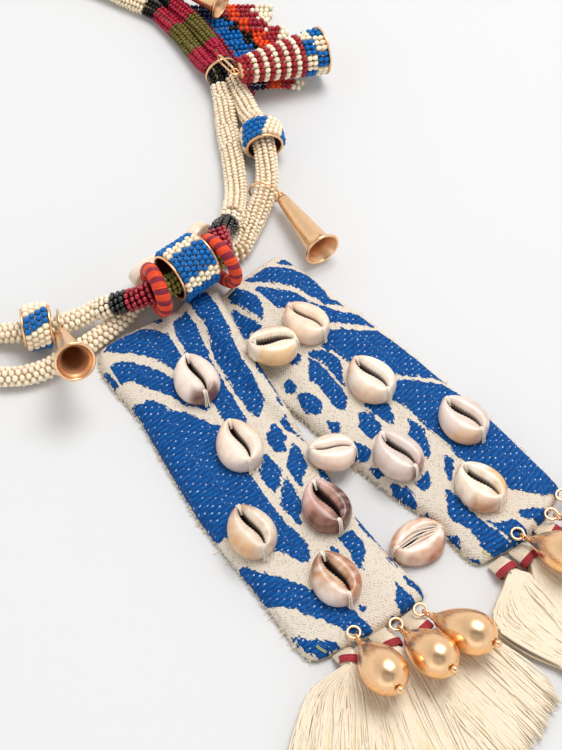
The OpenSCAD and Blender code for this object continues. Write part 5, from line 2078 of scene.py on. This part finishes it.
@dataclass
class Cowries:
    """Cowrie shells, ground flat at the back, with toothed slits and tied with thread."""

    kit: Kit
    length: float = 18.4
    width: float = 15.4
    height: float = 6.6
    slit_w: float = 2.2
    slit_share: float = 0.8
    tooth_pitch: float = 1.15
    thread_d: float = 0.42
    steps: int = 160
    rows: tuple = (
        (-25.7, -41.1, 6.5, -104, 0, 1), (-29.9, -70.7, 6.5, -104, 0, 1), (-46.1, -98.4, 6.5, -98, 0, 1),
        (-21.6, -106, 6.5, -98, 0, 1), (-35.4, -127.7, 6.5, -98, 0, 1), (2.6, -47, 8, -35, 0, 0.95),
        (-6.9, -91, 5.6, -38, 0, 0.86), (-4.5, -131.8, 0.2, -10, 0, 1), (18.2, -45.6, 6.5, -80, 0, 0.95),
        (20.9, -77.5, 6.5, -88, 0, 1), (34.9, -108.6, 6.5, -86, 0, 1), (8.9, -105.8, 6.5, -88, 0, 1),
        (22.4, -131.1, 6.5, -86, 0, 1), (11.2, 6.7, 6.4, 20, -90, 0.8), (-10.9, 4.9, 6.5, 0, -90, 0.82),
    )

    def build(self) -> list[tuple[float, float]]:
        """Make every shell and its thread.

        Returns:
            Where the threads pull the cloth down.
        """
        dents = []
        ties = ThreadList()
        for number, row in enumerate(self.rows, start=1):
            self.shell(number, row)
            if row[4] == 0:
                dents += self.tie(ties, number, row)
        self.kit.draw(ties, "shell_stitches", Slot.COTTON)
        return dents

    def placed(self, points: Array, row: Sequence[float]) -> Array:
        """Scale and turn points of a shell's own frame into place."""
        return Placement(row[:3], row[3], 0, row[4]).place(points * row[5])

    def shell(self, number: int, row: Sequence[float]) -> None:
        """Make one shell.

        Args:
            number: Its number.
            row: Its place, turns and scale.
        """
        n, h = self.steps, self.height
        angle = FULL_TURN * np.arange(n) / n
        cosine, sine = np.cos(angle), np.sin(angle)
        outer = np.stack([self.length / 2 * cosine, self.width / 2 * sine * (1 + 0.1 * cosine)], axis=1)
        slit_x = self.slit_share * self.length / 2 * cosine
        along = slit_x / self.length
        bend = self.width * (0.055 * np.sin(FULL_TURN * along) + 0.045 - 0.16 * along**2)
        tooth = 0.5 + 0.5 * np.cos(FULL_TURN * slit_x / self.tooth_pitch + (angle > math.pi) * 2.4 + number)
        tooth *= np.clip(np.abs(sine) * 2.2, 0, 1)
        half = SLIT_GAPE.get(number, 0.85) * self.slit_w / 2 * sine * (1 - 0.55 * cosine)
        middle = np.stack([slit_x, bend], axis=1)
        lip = np.stack([slit_x, half * (0.96 - 0.16 * tooth) + bend], axis=1)
        none = np.zeros(n)
        # painted shade: a floor low in the slit, fully dark, stands for the shade inside it
        rings = [(middle, none + 0.1 * h, none + 1)]
        rings += [(lip, none + level * h, none + pit) for level, pit in ((0.1, 1), (0.45, 0.9))]
        for share, level in SHELL_SECTION:
            fade = np.clip(1 - share / 0.22, 0, 1)
            # painted shade: darker at the slit's lip and in the grooves between the teeth
            pit = np.clip(1 - share / 0.05, 0, 1) * 0.4 + np.clip(0.45 - tooth, 0, 1) * fade * 0.25
            rings.append((lip + share * (outer - lip), level * h + 0.16 * (tooth - 0.6) * fade, pit))
        for share, level in ((0.985, 0.1), (0.93, 0.0)):
            rings.append((lip + share * (outer - lip), none + level * h, none))
        rings.append((middle, none, none))
        points = np.concatenate([np.column_stack([spot, rise]) for spot, rise, _ in rings])
        faces = [(i * n + k, i * n + (k + 1) % n, (i + 1) * n + (k + 1) % n, (i + 1) * n + k)
                 for i in range(len(rings) - 1) for k in range(n)]
        slit_shades = np.concatenate([pit for _, _, pit in rings])
        shell = Workpiece().add(self.placed(points, row), faces, tint=self.tints(number, points), pit=slit_shades)
        glaze = self.kit.finish.shell
        self.kit.forge(shell, f"shell_{number}", f"cowrie_{number}", finish=glaze, slot=Slot.SHELL)

    def tints(self, number: int, points: Array) -> Array:
        """Paint the ground and the patches of one shell.

        Args:
            number: Its number.
            points: Its points, in its own frame.

        Returns:
            One colour for each point.
        """
        look = SHELL_LOOKS.get(number, PLAIN_SHELL)
        tint = np.tile(srgb(*look.ground), (len(points), 1))
        px, py, pz = points.T
        x, y = px / (self.length / 2), py / (self.width / 2)
        out, turn = np.hypot(x, y), np.degrees(np.arctan2(y, x))
        rough = ripple(px, py, number, 7)
        edge = eased((2.4 - pz) / 2.4) * 0.3
        for place, (colour, degrees, reach, strength) in enumerate(look.patches):
            off = np.abs((turn - degrees + 180) % 360 - 180) / (85 * reach) + 0.25 * rough
            share = strength * eased(1.5 * (1.15 - off)) * eased((out - 0.8 + 0.6 * reach) / 0.5)
            share = share + eased(ripple(px, py, number + 30 + place, 4) * 0.7 + 0.2) * look.mottle
            share = np.clip(share + (edge if place == 0 else 0.0), 0, 1)[:, None]
            tint = tint * (1 - share) + np.array(srgb(*colour)) * share
        return tint

    def tie(self, ties: ThreadList, number: int, row: Sequence[float]) -> list[tuple[float, float]]:
        """Tie both ends of one shell down with a few threads.

        Args:
            ties: Where the threads are kept.
            number: The shell's number.
            row: Its place, turns and scale.

        Returns:
            Where the threads pull the cloth down.
        """
        rng = np.random.default_rng(100 + number)
        h, bottom = self.height, 9.9
        dents = []
        for end in (-1, 1):
            for shift in (-0.45, 0.0, 0.45):
                y = shift + rng.uniform(-0.15, 0.15)
                path = [(6.0, y * 0.5, 0.6 * h), (7.2, y * 0.7, 0.93 * h), (8.1, y, 1.04 * h),
                        (8.9, y, 0.88 * h), (9.4, y * 1.1, 0.5 * h), (9.7, y * 1.3, 0.1),
                        (bottom, y * 1.4, -0.5)]
                self.lay_thread(ties, np.array(path) * [end, 1, 1], 12, row, rng)
            dents.append(tuple(self.placed(np.array([[bottom * end, 0, 0]]), row)[0][:2]))
        for path in self.extra_turns(number):
            self.lay_thread(ties, path, 16, row, rng)
        return dents

    def lay_thread(self, ties: ThreadList, path: Any, steps: int, row: Sequence[float], rng: Random) -> None:
        """Lay one thread over a shell.

        Args:
            ties: Where the threads are kept.
            path: Its knots, in the shell's own frame.
            steps: Number of its points.
            row: The shell's place, turns and scale.
            rng: Random source.
        """
        line = self.placed(along_curve(path, steps), row)
        line[:, 2] = np.maximum(line[:, 2], 0.3)
        ties.add(line, self.thread_d, shade(Dye.WHITE_THREAD, rng, 0.08))

    def extra_turns(self, number: int) -> list[list[Spot]]:
        """List the threads that run along shell 8 and round one end of shell 6.

        Args:
            number: The shell's number.

        Returns:
            The knots of each thread, in the shell's own frame.
        """
        h = self.height
        if number == 8:
            return [[(-9.9, 0.6 * s, 0), (-9, s, 0.55 * h), (-6, 1.6 * s, 0.97 * h),
                     (0, 2.2 * s + 0.8, 1.06 * h), (6, 1.4 * s, 0.98 * h), (9, 0.8 * s, 0.55 * h),
                     (9.9, 0.5 * s, 0)] for s in (-1.0, -0.4, 0.1, 0.7)]
        if number != 6:
            return []
        turns = []
        for x, half, top in ((-8.6, 2.6, 0.62), (-8.1, 3.3, 0.7), (-7.6, 3.9, 0.78), (-7.1, 4.4, 0.84),
                             (-6.6, 4.9, 0.9)):
            rise = [(x, -half, 0.2), (x, -0.95 * half, 0.5 * top * h), (x + 0.2, -0.5 * half, top * h)]
            fall = [(a, -b, c) for a, b, c in reversed(rise)]
            turns.append([*rise, (x + 0.3, 0.0, 1.04 * top * h), *fall])
        return turns


# Tassels


@dataclass
class Tassel:
    """One cotton tassel: a gathered head, a bound neck and a fan of loose threads.

    It lies from its neck to its fan's left and right corners, and its sides swell on the way.
    """

    kit: Kit
    number: int
    neck: tuple[float, float]
    left: tuple[float, float]
    right: tuple[float, float]
    swell_left: float
    swell_right: float
    head_l: float
    neck_d: float = 7.6
    threads: int = 420
    clumps: int = 15
    overhang: float = 0.05

    def __post_init__(self) -> None:
        """Find the fan's heading, and start its yarn."""
        self.rng = np.random.default_rng(71 + self.number)
        self.yarn = ThreadList()
        self.root, self.corner = np.array(self.neck), np.array(self.left)
        self.width = np.array(self.right) - self.corner
        x, y = (self.corner + np.array(self.right)) / 2 - self.root
        self.heading = math.atan2(y, x)
        self.ahead = np.array([math.cos(self.heading), math.sin(self.heading)])
        self.across = np.array([-self.ahead[1], self.ahead[0]])

    def build(self) -> None:
        """Make the yarn and the binding."""
        self.loose_threads()
        self.padding()
        self.head()
        number = self.number
        self.kit.draw(self.yarn, f"tassel_yarn_{number}", Slot.COTTON, f"tassel_{number}", sides=3)
        self.binding()

    def loose_threads(self) -> None:
        """Spread the loose threads from the neck to their cut ends; the lower a thread lies, the more golden
        its tint, as painted shade.
        """
        rng, margin, whole = self.rng, self.overhang, 1 + 2 * self.overhang
        pull = rng.uniform(-0.4, 0.4, self.clumps + 2)
        lift = rng.uniform(0.0, 1.0, self.clumps + 2)
        cotton, gap_shade = np.array(Dye.COTTON.value), np.array(Dye.GOLDEN_SHADE.value)
        taper = np.concatenate([np.full(10, 1.0), [0.85, 0.4]])
        for k in range(self.threads):
            t = -margin + whole * (k + rng.uniform(-1.5, 1.5)) / self.threads
            clump = int(np.clip((t + margin) / whole * self.clumps, 0, self.clumps))
            layer = rng.uniform(0, 1) if k % 5 == 0 else rng.uniform(0.78, 1)
            middle_t = (clump + 0.5 + pull[clump]) / self.clumps * whole - margin
            t_end = t + 0.35 * layer * rng.uniform(0.3, 1) * (middle_t - t)
            tip = self.corner + t_end * self.width + rng.uniform(-4.2, 3.2) * self.ahead
            tip = tip + rng.normal(0, 1.0) * self.across
            # painted shade: lower threads mix towards the golden shade tint
            dark = float(np.clip(1.6 - 1.8 * layer, 0, 1)) * rng.uniform(0.5, 1)
            thick = rng.uniform(0.55, 0.9) * taper
            line = self.path(t, tip, rng.normal(0, 0.45, (3, 2)), layer, 0.75 + 0.25 * lift[clump])
            self.yarn.add(line, thick, cotton * (1 - dark) + gap_shade * dark)

    def padding(self) -> None:
        """Fill the fan from below with a few thick threads, tinted golden as painted shade that shows in the
        gaps.
        """
        fat = np.concatenate([np.linspace(2.2, 3.2, 6), np.full(4, 3.4), [2.6, 1.4]])
        for t in np.linspace(0.03, 0.97, 17):
            tip = self.corner + t * self.width - 2.4 * self.ahead
            line = self.path(t, tip, np.zeros((3, 2)), 0.5, 0.9)
            line[:, 2] = np.minimum(line[:, 2], 1.9)
            # painted shade: the filler's golden tint
            self.yarn.add(line, fat, Dye.GOLDEN_SHADE.value)

    def path(self, t: float, tip: Array, loose: Array, layer: float, rise: float) -> Array:
        """Lead one thread from inside the neck over the fan's swell to its tip.

        Args:
            t: Share of the fan from its left end.
            tip: Where the thread ends.
            loose: How far it strays on the way, at three places.
            layer: 0 for the lowest thread and 1 for the highest.
            rise: How high its clump stands.

        Returns:
            The thread's line.
        """
        aside = self.swell_left if t < 0.5 else self.swell_right
        swell = math.copysign(aside * abs(2 * t - 1) + 2.2 * abs(2 * t - 1) + 0.4, t - 0.5) * self.across
        turn = self.heading + math.radians((t - 0.5) * 80)
        round_at = math.pi * (1 - min(max(t, 0), 1)) * (1 if layer > 0.4 else -1)
        ring = self.neck_d / 2 - 1.0
        start = self.root - 1.4 * self.ahead - self.across * ring * math.cos(round_at)
        shoulder = self.root + 4.8 * np.array([math.cos(turn), math.sin(turn)])
        knots = [(*start, 3.1 + 0.8 * ring * math.sin(round_at)), (*shoulder, 0.9 + 4.3 * layer)]
        way = ((0.26, 1.15, 4.0), (0.54, 0.85, 3.5), (0.8, 0.3, 3.2))
        for (share, swelling, height), stray in zip(way, loose):
            spot = self.root + share * (tip - self.root) + swelling * swell + stray
            knots.append((*spot, 0.4 + height * layer * rise))
        knots.append((*tip, 0.4 + 2.3 * layer * rise))
        line = along_curve(knots, 12)
        line[:, 2] = np.maximum(line[:, 2], 0.35)
        return line

    def head(self) -> None:
        """Gather the head between the hem and the neck."""
        x, y, length = *self.neck, self.head_l
        hoops = ((2.9, -0.5, 3.0, 2.2), (3.1, 0.3 * length, 2.9, 2.2), (3.1, 0.72 * length, 2.1, 1.4),
                 (2.9, length + 0.9, 1.2, 0.4))
        for turn in np.linspace(0, FULL_TURN, 34, endpoint=False):
            c, s = math.cos(turn), math.sin(turn)
            knots = [(x + wide * c, y + along, level + high * s) for wide, along, level, high in hoops]
            self.yarn.add(along_curve(knots, 9), 0.95, shade(Dye.COTTON, self.rng, 0.06))

    def binding(self) -> None:
        """Bind the neck with burgundy thread."""
        place = Placement((*self.neck, 3.14), math.degrees(self.heading))
        turns = np.linspace(0, FULL_TURN, 29)[:-1]
        wraps = ThreadList()
        for along in np.linspace(-0.9, 0.9, 4):
            r = self.neck_d / 2 - 0.35 + self.rng.uniform(-0.12, 0.1)
            line = np.stack([along + 0.2 * np.sin(turns), r * np.cos(turns), 0.8 * r * np.sin(turns)], 1)
            wraps.add(place.place(line), 0.72, shade(Dye.BURGUNDY, self.rng, 0.2), closed=True)
        silk = self.kit.finish.winding
        self.kit.draw(wraps, f"tassel_binding_{self.number}", Slot.COTTON, sides=6, finish=silk)


TASSELS = (
    ((-47.3, -150.2), (-87.2, -170.4), (-62, -197), 3, 1.5, 4),
    ((-34.4, -154), (-58, -200), (-38, -206), 1.5, 3, 5.8),
    ((-23.2, -156.3), (-33, -207), (-5.6, -197), 2.2, 4, 7),
    ((11.3, -157), (7, -200), (13.3, -207), 8.6, 0.7, 4.2),
    ((19.8, -158.6), (18.8, -207.5), (33, -206.5), 1.1, 2.8, 5.4),
    ((31.6, -157), (37.6, -206), (56, -197), 2.3, 4, 5),
)


# Studio


@dataclass
class Studio:
    """Pale floor, soft light from the upper right of the picture, and the camera."""

    kit: Kit
    target: Spot = (1.6, -52.8, 0)
    distance: float = 560.0
    towards: Spot = (-0.3356, -0.4295, 0.839)
    right: Spot = (0.788, -0.6157, 0)
    up: Spot = (0.5165, 0.661, 0.545)
    lens: float = 77.9
    floor_half: float = 6.0
    floor_z: float = -0.0002

    def build(self) -> None:
        """Set up the camera, the floor and the lights."""
        self.camera()
        self.floor()
        self.lamp("key", (700, 220, 1940), 1.1, 32.0)
        self.lamp("fill", (-1500, -1300, 1300), 3.0, 9.0)
        self.sky()

    def camera(self) -> None:
        """Place the camera at the photograph's angle."""
        data = bpy.data.cameras.new("camera")
        data.lens = self.lens
        data.sensor_width = 36
        data.clip_end = 20
        camera = put("camera", data)
        turned = np.eye(4)
        turned[:3, :3] = np.column_stack([self.right, self.up, self.towards])
        turned[:3, 3] = (np.array(self.target) + self.distance * np.array(self.towards)) * MM
        camera.matrix_world = Matrix(turned.tolist())
        bpy.context.scene.camera = camera

    def floor(self) -> None:
        """Lay the floor."""
        mesh = bpy.data.meshes.new("floor")
        corners = [(x * self.floor_half, y * self.floor_half, self.floor_z)
                   for x, y in ((-1, -1), (1, -1), (1, 1), (-1, 1))]
        mesh.from_pydata(corners, [], [(0, 1, 2, 3)])
        mesh.materials.append(self.kit.finish.floor)
        put("floor", mesh)

    def lamp(self, name: str, offset: Spot, size: float, power: float) -> None:
        """Hang one soft lamp that faces the target.

        Args:
            name: Its name.
            offset: Its place from the target, in millimetres.
            size: Its width, in metres.
            power: Its power, in watts.
        """
        data = bpy.data.lights.new(name, "AREA")
        data.shape = "SQUARE"
        data.size = size
        data.energy = power
        lamp = put(name, data)
        lamp.location = (Vector(self.target) + Vector(offset)) * MM
        lamp.rotation_euler = (-Vector(offset)).to_track_quat("-Z", "Y").to_euler()

    def sky(self) -> None:
        """Fill the room with even light, less from low down, so that metal has something to show."""
        world = bpy.data.worlds.new("studio")
        bpy.context.scene.world = world
        world.use_nodes = True
        world.node_tree.nodes.clear()
        board = Board(world.node_tree)
        place = board.add("ShaderNodeTexCoord").outputs["Generated"]
        height = board.parts(place)[2]
        toward = board.add("ShaderNodeVectorMath", {"operation": "DOT_PRODUCT"}, {0: place, 1: self.towards})
        dim = board.signal(toward.outputs["Value"]).step(0.8, 0.87)
        light = (0.98 - height.step(0.2, 0.95) * 0.34) * (1 - dim * 0.75)
        back = board.add("ShaderNodeBackground", sockets={"Color": (1.0, 1.0, 1.0), "Strength": light})
        board.add("ShaderNodeOutputWorld", sockets={"Surface": back.outputs[0]})
        bpy.context.scene.view_settings.view_transform = "Standard"


def main() -> None:
    """Build the necklace and its studio, in order."""
    kit = Kit(Finishes(), BeadStringer(), ThreadDrawer())
    Studio(kit).build()
    Strands(kit).build()
    FrontGroup(kit).build()
    BellAndFringe(kit).build()
    Cones(kit).build()
    Drops(kit).build()
    dents = Cowries(kit).build()
    left = Pad("panel_left", (-19.7, -9), -6.2, LEFT_OUTLINE, 138, 1.4, False, LEFT_BLUES, 5)
    right = Pad("panel_right", (13.7, -13.5), 5.2, RIGHT_OUTLINE, 136, 3.3, True, RIGHT_BLUES, 9)
    left.build(kit, dents)
    right.build(kit, dents)
    for number, row in enumerate(TASSELS, start=1):
        Tassel(kit, number, *row).build()


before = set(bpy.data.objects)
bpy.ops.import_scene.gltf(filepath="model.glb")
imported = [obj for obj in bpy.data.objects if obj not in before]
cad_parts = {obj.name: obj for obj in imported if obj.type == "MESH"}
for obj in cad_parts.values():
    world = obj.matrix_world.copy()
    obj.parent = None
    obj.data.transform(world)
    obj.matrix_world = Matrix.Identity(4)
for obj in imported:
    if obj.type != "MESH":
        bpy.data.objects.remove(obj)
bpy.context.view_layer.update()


def plain(box: Any) -> list[list[float]]:
    """Turn a box's corners into plain lists of numbers."""
    return [[float(value) for value in corner] for corner in box]


if __name__ == "__main__":
    main()
